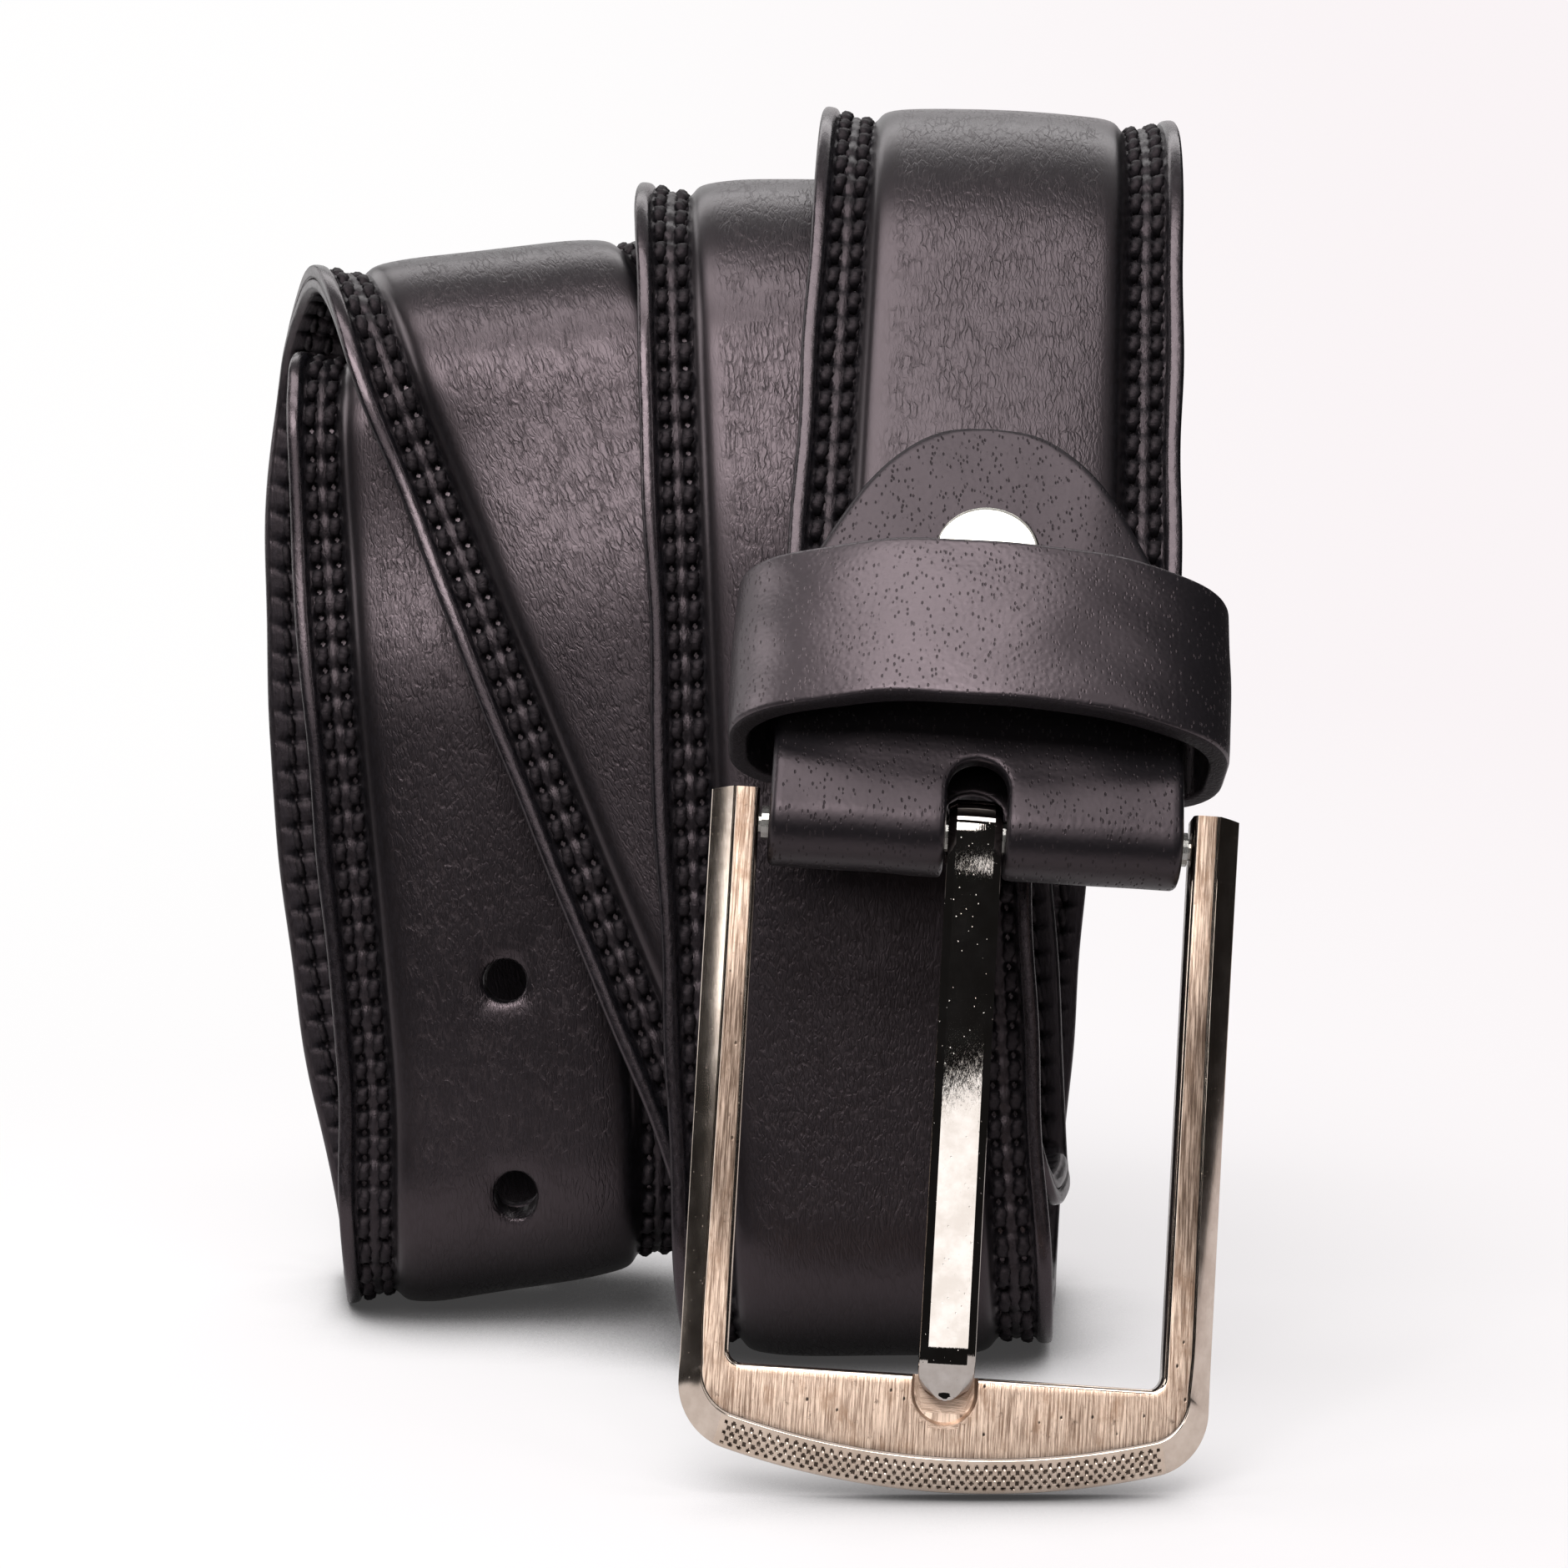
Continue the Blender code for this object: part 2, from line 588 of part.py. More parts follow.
def build_strap(route, group):
    tip = route.length
    last_hole = tip - HOLE_TO_TIP
    holes = [(last_hole - i * HOLE_PITCH, HOLE_WIDTH) for i in range(HOLE_COUNT)]
    holes.append((POST_AT, POST_BARREL + 2 * FIT))
    near_tip = [tip - TIP_LENGTH * share for share in (1.0, 0.72, 0.46, 0.26, 0.12, 0.04, 0.0)]
    resting = route.run[route.place[:, 2] < FOLD_A_LEVEL + SEAT_RISE]
    seat = [float(resting[0]), float(resting[-1])]
    rings = [run for run in route.rings(STRAP_START, tip - TIP_LENGTH)[:-1]
             if min(abs(run - end) for end in seat) > SEAT_CLEAR]
    stations = sorted(rings + seat) + near_tip

    face = mirrored(((HALF, FACE_LOW), (HALF - EDGE_ROUND, LIP_TOP), (HALF - LIP_WIDTH, CHANNEL_TOP),
                     (CROWN_FOOT, CHANNEL_TOP), (CROWN_SIDE, CROWN_EDGE), (CROWN_FLAT, CROWN_TOP)))
    face += [(CAVITY_SIDE, FACE_LOW), (0.0, ROOF), (-CAVITY_SIDE, FACE_LOW)]
    item = layer("strap_face", face, stations, tip, route, group, holes, floor=True)
    dress(item, "black_grain_leather", LEATHER)

    inset = HALF - EDGE_ROUND
    lining = [(-CAVITY_SIDE, LINING_LOW), (-inset, LINING_LOW), (-HALF, LINING_TOP),
              (-CAVITY_SIDE, LINING_TOP), (CAVITY_SIDE, LINING_TOP), (HALF, LINING_TOP),
              (inset, LINING_LOW), (CAVITY_SIDE, LINING_LOW)]
    item = layer("strap_lining", lining, stations, tip, route, group, holes)
    dress(item, "black_lining_leather", LINING_LEATHER)

    filler = [(-FILLER_SIDE, FILLER_LOW), (0.0, FILLER_TOP), (FILLER_SIDE, FILLER_LOW)]
    inner = between(stations, STRAP_START, tip - FILLER_TO_TIP)
    item = layer("strap_filler", filler, inner, tip, route, group, holes)
    dress(item, "padding_board", PADDING)

    low = CHANNEL_TOP + FIT
    under = LINING_LOW - FIT
    half = THREAD_WIDTH / 2
    for number, place in enumerate((-ROW_OUTER, -ROW_INNER, ROW_INNER, ROW_OUTER), start=1):
        end = tip - THREAD_TO_TIP
        top = [(place - half, low), (place, low + THREAD_HIGH), (place + half, low)]
        item = layer("stitch_row_%d" % number, top, between(stations, THREAD_START, end), tip, route, group)
        dress(item, "black_thread", THREAD)
        back = [(place - half, under), (place, under - BOBBIN_HIGH), (place + half, under)]
        item = layer("bobbin_row_%d" % number, back, between(stations, BOBBIN_START, end), tip, route, group)
        dress(item, "black_bobbin_thread", THREAD)
    return holes


def build_chape(group, parent):
    front = CROWN_TOP + FIT + CHAPE_THICK / 2
    back = LINING_LOW - FIT - CHAPE_THICK / 2
    middle = (front + back) / 2
    radius = (front - back) / 2
    outline = [(CHAPE_LONG - back_from, HALF - inset) for back_from, inset in CHAPE_OUTLINE]
    path = [(run, front, width, 0.0) for run, width in reversed(outline)]
    steps = 10
    for i in range(steps + 1):
        turn = pi / 2 + pi * i / steps
        path.append((radius * cos(turn), middle + radius * sin(turn), HALF, turn - pi / 2))
    path += [(run, back, width, pi) for run, width in outline]
    points = []
    half = CHAPE_THICK / 2
    for run, high, width, turn in path:
        out = (-sin(turn) * half, cos(turn) * half)
        for side, face in ((-1, 1), (1, 1), (1, -1), (-1, -1)):
            points.append((side * width, run + face * out[0], high + face * out[1]))
    faces = [(0, 1, 2, 3), tuple(range(len(points) - 4, len(points)))]
    for i in range(len(path) - 1):
        for j in range(4):
            k = (j + 1) % 4
            faces.append((4 * i + j, 4 * i + k, 4 * i + 4 + k, 4 * i + 4 + j))
    item = mesh_object("chape", points, faces, group)
    round_end = SLOT_WIDTH / 2
    slot = [(-round_end, -CUT_REACH), (round_end, -CUT_REACH)]
    for i in range(9):
        turn = pi * i / 8
        slot.append((round_end * cos(turn), SLOT_TOP - round_end + round_end * sin(turn)))
    hole = disc(POST_BARREL / 2 + FIT, 16, (0.0, POST_AT))
    tools = [prism("slot", slot, -CUT_REACH, CUT_REACH, group),
             prism("post_hole", hole, -CUT_REACH, CUT_REACH, group)]
    cut(item, tools)
    item.parent = parent
    dress(item, "black_chape_leather", EDGE_LEATHER)
    return middle, front + half, back - half


def build_post(group, parent, top, low):
    seat = top + FIT
    head = seat + POST_HEAD_THICK
    end = low + POST_SHORT
    rim = POST_HEAD / 2
    barrel = POST_BARREL / 2
    profile = ((0.0, head), (rim - POST_EDGE, head), (rim, head - POST_EDGE), (rim, seat), (barrel, seat),
               (barrel, end),
               (POST_BORE / 2, end), (POST_BORE / 2, end + POST_BORE_DEEP), (0.0, end + POST_BORE_DEEP))
    post = turned("post", profile, 28, group)
    post.location = (0.0, POST_AT * MM, 0.0)
    post.parent = parent
    dress(post, "polished_nickel", BRIGHT_NICKEL)

    face = low - FIT
    base = face - SCREW_HEAD_THICK
    rim = SCREW_HEAD / 2
    shank = SCREW_SHANK / 2
    point = face + SCREW_LENGTH
    profile = ((0.0, point), (shank - SCREW_POINT, point), (shank, point - SCREW_POINT), (shank, face),
               (rim, face), (rim, base + SCREW_EDGE), (rim - SCREW_EDGE, base), (0.0, base))
    screw = turned("screw", profile, 24, group)
    half = SCREW_SLOT / 2
    tool = prism("screw_slot", ((-2 * rim, -half), (2 * rim, -half), (2 * rim, half), (-2 * rim, half)),
                 base - SCREW_HEAD_THICK, base + SCREW_SLOT_DEEP, group)
    cut(screw, [tool])
    screw.location = (0.0, POST_AT * MM, 0.0)
    screw.parent = parent
    dress(screw, "plated_screw", WIRE)


def keeper_outline(low, top):
    """The inside of the keeper from the seam round to the seam, with the outward directions."""
    half = KEEPER_INSIDE / 2
    corner = KEEPER_CORNER
    spots = [(KEEPER_SEAM / 2, low, 0.0, -1.0), (half - corner - KEEPER_FLAT, low, 0.0, -1.0)]
    for i in range(5):
        turn = -pi / 2 + pi / 2 * i / 4
        x = cos(turn)
        y = sin(turn)
        spots.append((half - corner + corner * x, low + corner + corner * y, x, y))
    base = top - KEEPER_ARCH_BELOW
    steps = 18
    for i in range(steps + 1):
        turn = pi * i / steps
        way = Vector((cos(turn) / half, sin(turn) / KEEPER_RISE)).normalized()
        spots.append((half * cos(turn), base + KEEPER_RISE * sin(turn), way.x, way.y))
    for v, h, x, y in reversed(spots[:7]):
        spots.append((-v, h, -x, y))
    return spots


def build_keeper(group, slide, top, low):
    inside = low - FIT - SCREW_HEAD_THICK - FIT
    spots = keeper_outline(inside, top)
    points = []
    for v, h, x, y in spots:
        for wall, run in ((0.0, 0.0), (KEEPER_WALL, 0.0), (KEEPER_WALL, KEEPER_HIGH), (0.0, KEEPER_HIGH)):
            points.append((v + x * wall, run, h + y * wall))
    faces = [(0, 1, 2, 3), tuple(range(len(points) - 4, len(points)))]
    for i in range(len(spots) - 1):
        for j in range(4):
            k = (j + 1) % 4
            faces.append((4 * i + j, 4 * i + k, 4 * i + 4 + k, 4 * i + 4 + j))
    item = mesh_object("keeper_loop", points, faces, group)
    outer = inside - KEEPER_WALL
    tools = []
    radius = STAPLE_WIRE / 2 + FIT
    places = (STAPLE_INSET, KEEPER_HIGH - STAPLE_INSET)
    for run in places:
        for side in (-1, 1):
            hole = disc(radius, 8, (side * STAPLE_SPAN / 2, run))
            tools.append(prism("staple_hole", hole, outer - KEEPER_WALL, outer + STAPLE_DEEP + FIT, group))
    cut(item, tools)
    item.parent = slide
    dress(item, "black_keeper_leather", EDGE_LEATHER)
    for number, run in enumerate(places, start=1):
        level = outer - FIT - STAPLE_WIRE / 2
        half = STAPLE_SPAN / 2
        bend = ((-half, run, outer + STAPLE_DEEP), (-half, run, level), (half, run, level),
                (half, run, outer + STAPLE_DEEP))
        staple = wire("keeper_staple_%d" % number, bend, STAPLE_WIRE / 2, 1, group)
        staple.parent = slide
        dress(staple, "staple_wire_%d" % number, WIRE)


def frame_outline():
    """The buckle's open frame seen from the front, with the count of its outer points."""
    half = BUCKLE_WINDOW / 2 + BUCKLE_RAIL
    sweep = (half ** 2 + BUCKLE_BOW ** 2) / (2 * BUCKLE_BOW)
    bow = -BUCKLE_LONG + sweep
    inner = sweep - BUCKLE_CORNER
    turn_x = half - BUCKLE_CORNER
    turn_y = bow - sqrt(inner ** 2 - turn_x ** 2)
    last = atan2(turn_y - bow, turn_x)
    right = [(half, BUCKLE_END)]
    for i in range(7):
        turn = last * i / 6
        right.append((turn_x + BUCKLE_CORNER * cos(turn), turn_y + BUCKLE_CORNER * sin(turn)))
    for i in range(1, 5):
        turn = last + (-pi / 2 - last) * i / 5
        right.append((sweep * cos(turn), bow + sweep * sin(turn)))
    outer = right + [(0.0, -BUCKLE_LONG)] + [(-x, y) for x, y in reversed(right)]
    edge = BUCKLE_WINDOW / 2
    side = [(edge, BUCKLE_END)]
    for i in range(5):
        turn = -pi / 2 * i / 4
        side.append((edge - WINDOW_CORNER + WINDOW_CORNER * cos(turn),
                     -WINDOW_LONG + WINDOW_CORNER + WINDOW_CORNER * sin(turn)))
    inside = [(-x, y) for x, y in side] + list(reversed(side))
    spots = []
    for x, y in outer + inside:
        inward = BUCKLE_TAPER * (BUCKLE_END - y) / (BUCKLE_END + BUCKLE_LONG)
        spots.append((x * (1.0 - inward / half), y))
    return spots, len(outer)


def build_buckle(group, swing):
    outline, outer = frame_outline()
    half = BUCKLE_THICK / 2
    item = prism("buckle_frame", outline, -half, half, group)
    count = len(outline)
    body = bmesh.new()
    body.from_mesh(item.data)
    body.verts.ensure_lookup_table()
    weights = body.edges.layers.float.new("bevel_weight_edge")
    for edge in body.edges:
        first, second = sorted(v.index for v in edge.verts)
        if first >= count and second - first == 1:
            if second < count + outer:
                edge[weights] = 1.0
            elif first >= count + outer:
                edge[weights] = BUCKLE_EASE / BUCKLE_BEVEL
    body.to_mesh(item.data)
    body.free()
    ease = item.modifiers.new("bevel", "BEVEL")
    ease.limit_method = "WEIGHT"
    ease.offset_type = "OFFSET"
    ease.width = BUCKLE_BEVEL * MM
    ease.segments = 1
    bake(item)
    notch = PRONG_WIDTH / 2 + FIT
    recess = [(notch, -WINDOW_LONG + NOTCH_LONG), (-notch, -WINDOW_LONG + NOTCH_LONG)]
    for i in range(11):
        turn = pi + pi * i / 10
        recess.append((notch * cos(turn), -WINDOW_LONG - NOTCH_LONG + notch + notch * sin(turn)))
    tools = [prism("notch", recess, half - NOTCH_DEEP, half + BUCKLE_THICK, group)]
    for side in (-1, 1):
        hole = disc(BAR_PIN / 2 + FIT, 14)
        edge = BUCKLE_WINDOW / 2
        tool = prism("bar_hole", hole, edge - BUCKLE_RAIL, edge + BAR_PIN_DEEP + FIT, group)
        tool.rotation_euler = (0.0, side * pi / 2, 0.0)
        tools.append(tool)
    cut(item, tools)
    item.parent = swing
    dress(item, "brushed_gunmetal", GUNMETAL)

    reach = BUCKLE_WINDOW / 2 - FIT
    pin = BUCKLE_WINDOW / 2 + BAR_PIN_DEEP
    profile = ((0.0, pin), (BAR_PIN / 2, pin), (BAR_PIN / 2, reach), (BAR_WIDTH / 2, reach),
               (BAR_WIDTH / 2, -reach), (BAR_PIN / 2, -reach), (BAR_PIN / 2, -pin), (0.0, -pin))
    bar = turned("buckle_bar", profile, 16, group)
    bar.rotation_euler = (0.0, pi / 2, 0.0)
    bar.parent = swing
    dress(bar, "bar_steel", WIRE)


def build_prong(group, pivot):
    half = BUCKLE_THICK / 2
    low = half - NOTCH_DEEP + FIT
    top = low + PRONG_THICK
    eye = PRONG_EYE / 2
    end = -WINDOW_LONG - NOTCH_LONG + 2 * FIT
    start = atan2(low, -sqrt(eye ** 2 - low ** 2))
    profile = []
    steps = 16
    for i in range(steps + 1):
        turn = start + (2 * pi + pi / 2 - start) * i / steps
        profile.append((eye * cos(turn), eye * sin(turn)))
    profile += [(end + PRONG_TIP_LONG, top), (end + PRONG_NOSE, top - PRONG_TIP_FALL),
                (end, top - PRONG_NOSE_FALL), (end, low + PRONG_CHIN), (end + PRONG_CHIN_BACK, low)]
    width = PRONG_WIDTH / 2
    tip_y = end + width
    points = []
    for side in (-1, 1):
        for y, z in profile:
            share = 1.0
            if y < tip_y:
                share = max(0.35, sqrt(max(0.0, 1.0 - ((tip_y - y) / width) ** 2)))
            points.append((side * width * share, y, z))
    count = len(profile)
    faces = [tuple(range(count)), tuple(range(count, 2 * count))]
    for i in range(count):
        j = (i + 1) % count
        faces.append((i, j, count + j, count + i))
    item = mesh_object("prong", points, faces, group)
    body = bmesh.new()
    body.from_mesh(item.data)
    weights = body.edges.layers.float.new("bevel_weight_edge")
    for edge in body.edges:
        first, second = (v.co for v in edge.verts)
        if first.x * second.x > 0.0 and min(first.z, second.z) > (top - 1.2 * PRONG_TIP_FALL) * MM:
            edge[weights] = 1.0
    body.to_mesh(item.data)
    body.free()
    facet = item.modifiers.new("facet", "BEVEL")
    facet.limit_method = "WEIGHT"
    facet.width = PRONG_FACET * MM
    facet.segments = 1
    bake(item)
    tool = prism("eye", disc(BAR_WIDTH / 2 + FIT, 18), -PRONG_WIDTH, PRONG_WIDTH, group)
    tool.rotation_euler = (0.0, pi / 2, 0.0)
    cut(item, [tool])
    item.parent = pivot
    dress(item, "polished_dark_nickel", DARK_NICKEL)


def centre_on_floor(root):
    """Move the whole belt so that it stands on Z = 0 with its bounds centred over the origin."""
    bpy.context.view_layer.update()
    spots = []
    for item in bpy.data.objects:
        if item.type == "MESH":
            spots += [item.matrix_world @ v.co for v in item.data.vertices]
    low = Vector((min(p.x for p in spots), min(p.y for p in spots), min(p.z for p in spots)))
    high = Vector((max(p.x for p in spots), max(p.y for p in spots), max(p.z for p in spots)))
    middle = (low + high) / 2
    root.location = (-middle.x, -middle.y, -low.z)
    bpy.context.view_layer.update()
    return low, high


def least_gap(route):
    """The least gap between two turns of the strap, on points of its outside."""
    under = LINING_LOW - FIT - BOBBIN_HIGH
    half = ((HALF, LINING_TOP), (HALF, FACE_LOW), (HALF, LIP_TOP), (ROW_OUTER, LIP_TOP), (ROW_INNER, LIP_TOP),
            (CROWN_SIDE, CROWN_EDGE), (CROWN_FLAT, CROWN_TOP), (CROWN_FLAT / 2, CROWN_TOP), (0.0, CROWN_TOP),
            (HALF, LINING_LOW), (ROW_OUTER, under), (ROW_INNER, under), (HALF / 2, LINING_LOW),
            (HALF / 4, LINING_LOW), (0.0, LINING_LOW))
    outside = list(half) + [(-v, h) for v, h in half if v > 0.0]
    run = np.arange(STRAP_START, route.length, GAP_STEP)
    flat = np.array([(v, s, h) for s in run for v, h in outside])
    spots = route.wind(flat)
    best = 1e9
    for i in range(0, len(spots), 400):
        away = np.linalg.norm(spots[i:i + 400, None] - spots[None], axis=2)
        apart = np.abs(flat[i:i + 400, None, 1] - flat[None, :, 1]) > SAME_TURN
        best = min(best, float(np.where(apart, away, 1e9).min()))
    return best


def main():
    clear_scene()
    group = new_collection("leather_belt")
    route = Route()
    root = empty("belt", group)
    holes = build_strap(route, group)
    for item in list(group.objects):
        if item.type == "MESH":
            item.parent = root

    foot = Matrix.Identity(4)
    axes = (route.across[0], route.along[0], route.outward[0])
    for column, axis in enumerate(axes):
        for row in range(3):
            foot[row][column] = float(axis[row])
    for row in range(3):
        foot[row][3] = float(route.place[0][row]) * MM
    end = empty("buckle_end", group, root, foot)
    middle, top, low = build_chape(group, end)
    build_post(group, end, top, low)
    slide = empty("keeper_slide", group, end, Matrix.Translation((0.0, KEEPER_AT * MM, 0.0)))
    build_keeper(group, slide, top, low)

    bar = Matrix.Translation((0.0, -BAR_DROP * MM, middle * MM))
    swing = empty("buckle_swing", group, end, bar @ Matrix.Rotation(radians(BUCKLE_LEAN), 4, "X"))
    build_buckle(group, swing)
    pivot = empty("prong_swing", group, swing)
    build_prong(group, pivot)

    bottom, high = centre_on_floor(root)
    size = (high - bottom) / MM
    print("bounds mm: %.1f %.1f %.1f lowest %.3f" % (size.x, size.y, size.z, bottom.z / MM))
    print("strap length mm: %.1f" % (route.length - STRAP_START))
    print("least gap of the roll to itself mm: %.2f" % least_gap(route))
    print("bar centre: %s" % (tuple(round(c, 5) for c in swing.matrix_world.translation),))
    print("bar axis: %s" % (tuple(round(c, 5) for c in end.matrix_world.to_3x3().col[0]),))
    print("strap way: %s" % (tuple(round(c, 5) for c in end.matrix_world.to_3x3().col[1]),))
    print("shift mm: %.3f %.3f" % (root.location.x / MM, root.location.y / MM))
    print("holes at mm: %s" % ([round(run, 1) for run, width in holes],))


main()
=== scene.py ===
"""Looks of the rolled leather belt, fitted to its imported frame.

The strap is drawn flat at its real length, with its stitches, and wound along the same route as
the solids.  Sizes are millimetres and degrees, and meshes are handed over in metres.
"""
from math import acos, atan2, cos, hypot, pi, radians, sin, sqrt

import bmesh
import bpy
import numpy as np
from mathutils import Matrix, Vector


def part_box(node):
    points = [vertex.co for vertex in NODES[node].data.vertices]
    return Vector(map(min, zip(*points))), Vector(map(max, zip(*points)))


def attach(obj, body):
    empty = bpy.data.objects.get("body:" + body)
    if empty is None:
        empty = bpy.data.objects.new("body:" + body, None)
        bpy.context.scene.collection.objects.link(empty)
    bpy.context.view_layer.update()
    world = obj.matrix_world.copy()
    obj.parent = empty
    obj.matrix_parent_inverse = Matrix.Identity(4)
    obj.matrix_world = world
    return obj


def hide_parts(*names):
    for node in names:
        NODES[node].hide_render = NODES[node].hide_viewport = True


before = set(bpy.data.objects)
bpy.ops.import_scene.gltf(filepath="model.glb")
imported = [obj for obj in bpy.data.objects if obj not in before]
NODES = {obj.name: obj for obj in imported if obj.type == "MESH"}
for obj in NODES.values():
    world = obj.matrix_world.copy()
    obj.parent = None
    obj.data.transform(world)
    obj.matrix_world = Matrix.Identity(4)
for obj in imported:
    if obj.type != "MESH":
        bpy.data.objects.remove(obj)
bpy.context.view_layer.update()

MM = 0.001

# Strap
HALF = 19.0
STRAP_START = 8.0
TIP_LENGTH = 16.0
TIP_BLUNT = 2.5
LINING_LOW = -1.65
CHANNEL_TOP = 0.9
ROW_OUTER = 16.4
ROW_INNER = 14.2
STITCH_PITCH = 3.0
HOLE_COUNT = 5
HOLE_PITCH = 22.5
HOLE_WIDTH = 4.6
HOLE_TO_TIP = 108.0
POST_AT = 26.8
THREAD_TO_TIP = 19.0
HOLE_ZONE = 6.2
POST_HOLE = 5.1
EDGE_FROM = 18.9
LIP_FROM = 17.35
CHANNEL_FROM = 13.3
BACK_EDGE_FROM = 18.3

# Needle pits, the threads' beds, the ridge between two rows, the crown's swell and the edges' sway
PIT_REACH = 0.66
PIT_DEEP = 0.86
BED_REACH = 0.4
BED_DEEP = 0.10
RIDGE_AT = 15.3
RIDGE_REACH = 0.45
RIDGE_HIGH = 0.16
SWELL = 0.10
SWAY = 0.14

# Stitches: gap at each end, depth of the ends, rise of the middle, radius, slant and plies
STITCH_INSET = 0.36
STITCH_SINK = 0.56
STITCH_RISE = 0.78
STITCH_RADIUS = 0.40
STITCH_SLANT = 0.30
STITCH_ROWS = (-ROW_OUTER, -ROW_INNER, ROW_INNER, ROW_OUTER)
PLY_PITCH = 1.15
PLY_DEEP = 0.15

# Threads: piece, node, points round and along, first run, leather's height, way out, depth, width
THREADS = (("stitches_%d", "stitch_row_%d", 9, 11, 12.0, CHANNEL_TOP, 1.0, 1.0, 1.5),
           ("under_stitches_%d", "bobbin_row_%d", 6, 7, 46.0, LINING_LOW, -1.0, 0.85, 1.1))

# A punched hole from its block of faces through the layer: share of the way in, level, dip
HOLE_STEPS = ((0.45, 1.0, 0.0), (0.72, 1.0, -0.05), (0.86, 1.0, -0.16), (0.94, 1.0, -0.30),
              (0.985, 1.0, -0.45), (1.0, 1.0, -0.7), (1.0, 0.5, 0.0), (1.0, 0.0, 0.0), (0.5, 0.0, 0.0))

# Chape, keeper and buckle, in the frame of the strap's buckle end
CHAPE_THICK = 1.8
CHAPE_LONG = 41.8
CHAPE_OUTLINE = ((31.8, 0.0), (21.0, 0.0), (18.6, 0.7), (16.2, 1.9), (13.3, 3.4), (10.0, 5.2),
                 (7.0, 7.1), (4.5, 9.1), (2.6, 11.1), (1.2, 13.1), (0.35, 15.4), (0.0, 19.0))
CHAPE_FRONT = 4.25
CHAPE_BACK = -2.85
FOLD_MIDDLE = 0.70
FOLD_RADIUS = 3.55
SLOT_HALF = 2.8
SLOT_TOP = 5.2
SIDE_ROUND = 0.75
SLOT_ROUND = 0.5
CHAPE_SAG = 1.25
CHAPE_WAVE = 0.05
POST_HEAD = 10.0
POST_SEAT = 5.45
POST_CAP = 1.1
POST_BARREL = 2.25
POST_BORE = 1.6
POST_FOOT = -3.35
POST_FLOOR = 2.25
KEEPER_AT = 7.2
KEEPER_HIGH = 16.6
KEEPER_WALL = 1.9
KEEPER_HALF = 21.5
KEEPER_LOW = -5.25
KEEPER_BASE = 2.05
KEEPER_RISE = 9.8
KEEPER_CORNER = 3.5
KEEPER_SEAM = 0.4
KEEPER_BELLY = 0.22
KEEPER_UNEVEN = 0.09
KEEPER_SWAY = 0.10
BAR_DROP = 0.55
BUCKLE_LEAN = 16.0
BUCKLE_WINDOW = 40.0
WINDOW_LONG = 49.3
WINDOW_CORNER = 1.2
BUCKLE_LONG = 59.5
BUCKLE_RAIL = 4.5
BUCKLE_THICK = 4.0
BUCKLE_END = 2.8
BUCKLE_BOW = 4.0
BUCKLE_CORNER = 6.0
BUCKLE_TAPER = 0.8
RAIL_RISE = 0.002
RAIL_BEND = 16.0
NOTCH_LONG = 4.2
NOTCH_DEEP = 1.1
BEVEL_WIDE = 2.05
BEVEL_GROW = 0.75
STRIP_LOW = -50.0
STRIP_HALF = 20.2
DIMPLES_HALF = 19.8
DIMPLE_ROWS = 5
DIMPLE_FIRST = 0.42
DIMPLE_STEP = 0.47
DIMPLE_PITCH = 0.82
DIMPLE_REACH = 0.25
DIMPLE_DEEP = 0.20
PRONG_WIDTH = 5.0
PRONG_LOW = 1.2
PRONG_TOP = 3.2
PRONG_EYE = 3.3
PRONG_BORE = 1.9
PRONG_END = -51.5
PRONG_LIFT = 0.9
PRONG_FACET = 0.75

# Rounds the strap runs over: name, across, depth, height of the centre, radius of its middle, tilt
FORMERS = (
    ("top_1", 24.3, 75.5, 98.3, 29.9, -2.3),
    ("fold_a_back", 12.0, 71.0, 13.05, 10.5, 0.0),
    ("fold_a_front", 8.0, 49.5, 13.05, 10.5, 0.0),
    ("top_2", 2.5, 75.5, 98.3, 22.6, 0.0),
    ("fold_b_back", 13.0, 64.0, 9.15 + HALF * sin(radians(12.0)) + 4.5, 4.5, 12.0),
    ("fold_b_front", 11.5, 50.5, 9.15 + HALF * sin(radians(12.0)) + 4.5, 4.5, 12.0),
    ("top_3", -34.0, 75.5, 98.0, 15.3, 6.0),
    ("fold_c_back", -32.0, 79.0, 1.45 + HALF * sin(radians(9.0)) + 6.0, 6.0, 9.0),
    ("fold_c_front", -27.7, 71.0, 1.45 + HALF * sin(radians(9.0)) + 12.0, 12.0, 9.0),
    ("top_4", -36.0, 75.5, 98.3, 8.0, 4.0),
)

# Points on the legs between rounds: number of the round before, share of the way, across
LEG_POINTS = ((0, 0.5, 18.5), (3, 0.5, 10.0), (5, 0.2, 1.5), (6, 0.35, -40.7), (6, 0.65, -40.0),
              (8, 0.25, -29.1), (8, 0.5, -32.0))

# Straight ends of the route, reaches over which its bends are softened, and spacing of its points
RAMP_SLOPE = 58.0
RAMP_LONG = 66.3
RAMP_ACROSS = 17.6
TAIL_LONG = 20.0
TAIL_LEAN = -12.0
TAIL_ACROSS = -29.0
ACROSS_SOFT = 22.0
BEND_SOFT = 3.0
TILT_SOFT = 10.0
ROUTE_STEP = 0.5
RAMP_POINTS = 60
SOFT_STEPS = 45

# How the leather settles beyond the solids: edges at the top bends, two turns and the front legs
EDGE_LIFT = 1.15
TURN_3 = 6
TURN_3_LEAN = 1.8
TURN_4 = 9
TURN_4_SAG = 2.4
LEG_BULGE = 2.2
BULGE_SHARES = (-1.0, 0.10, 0.60, 0.76, 2.0)
BULGE_SOFT = 0.05
FRONT_LEGS = ((2, 3), (5, 6), (8, 9))

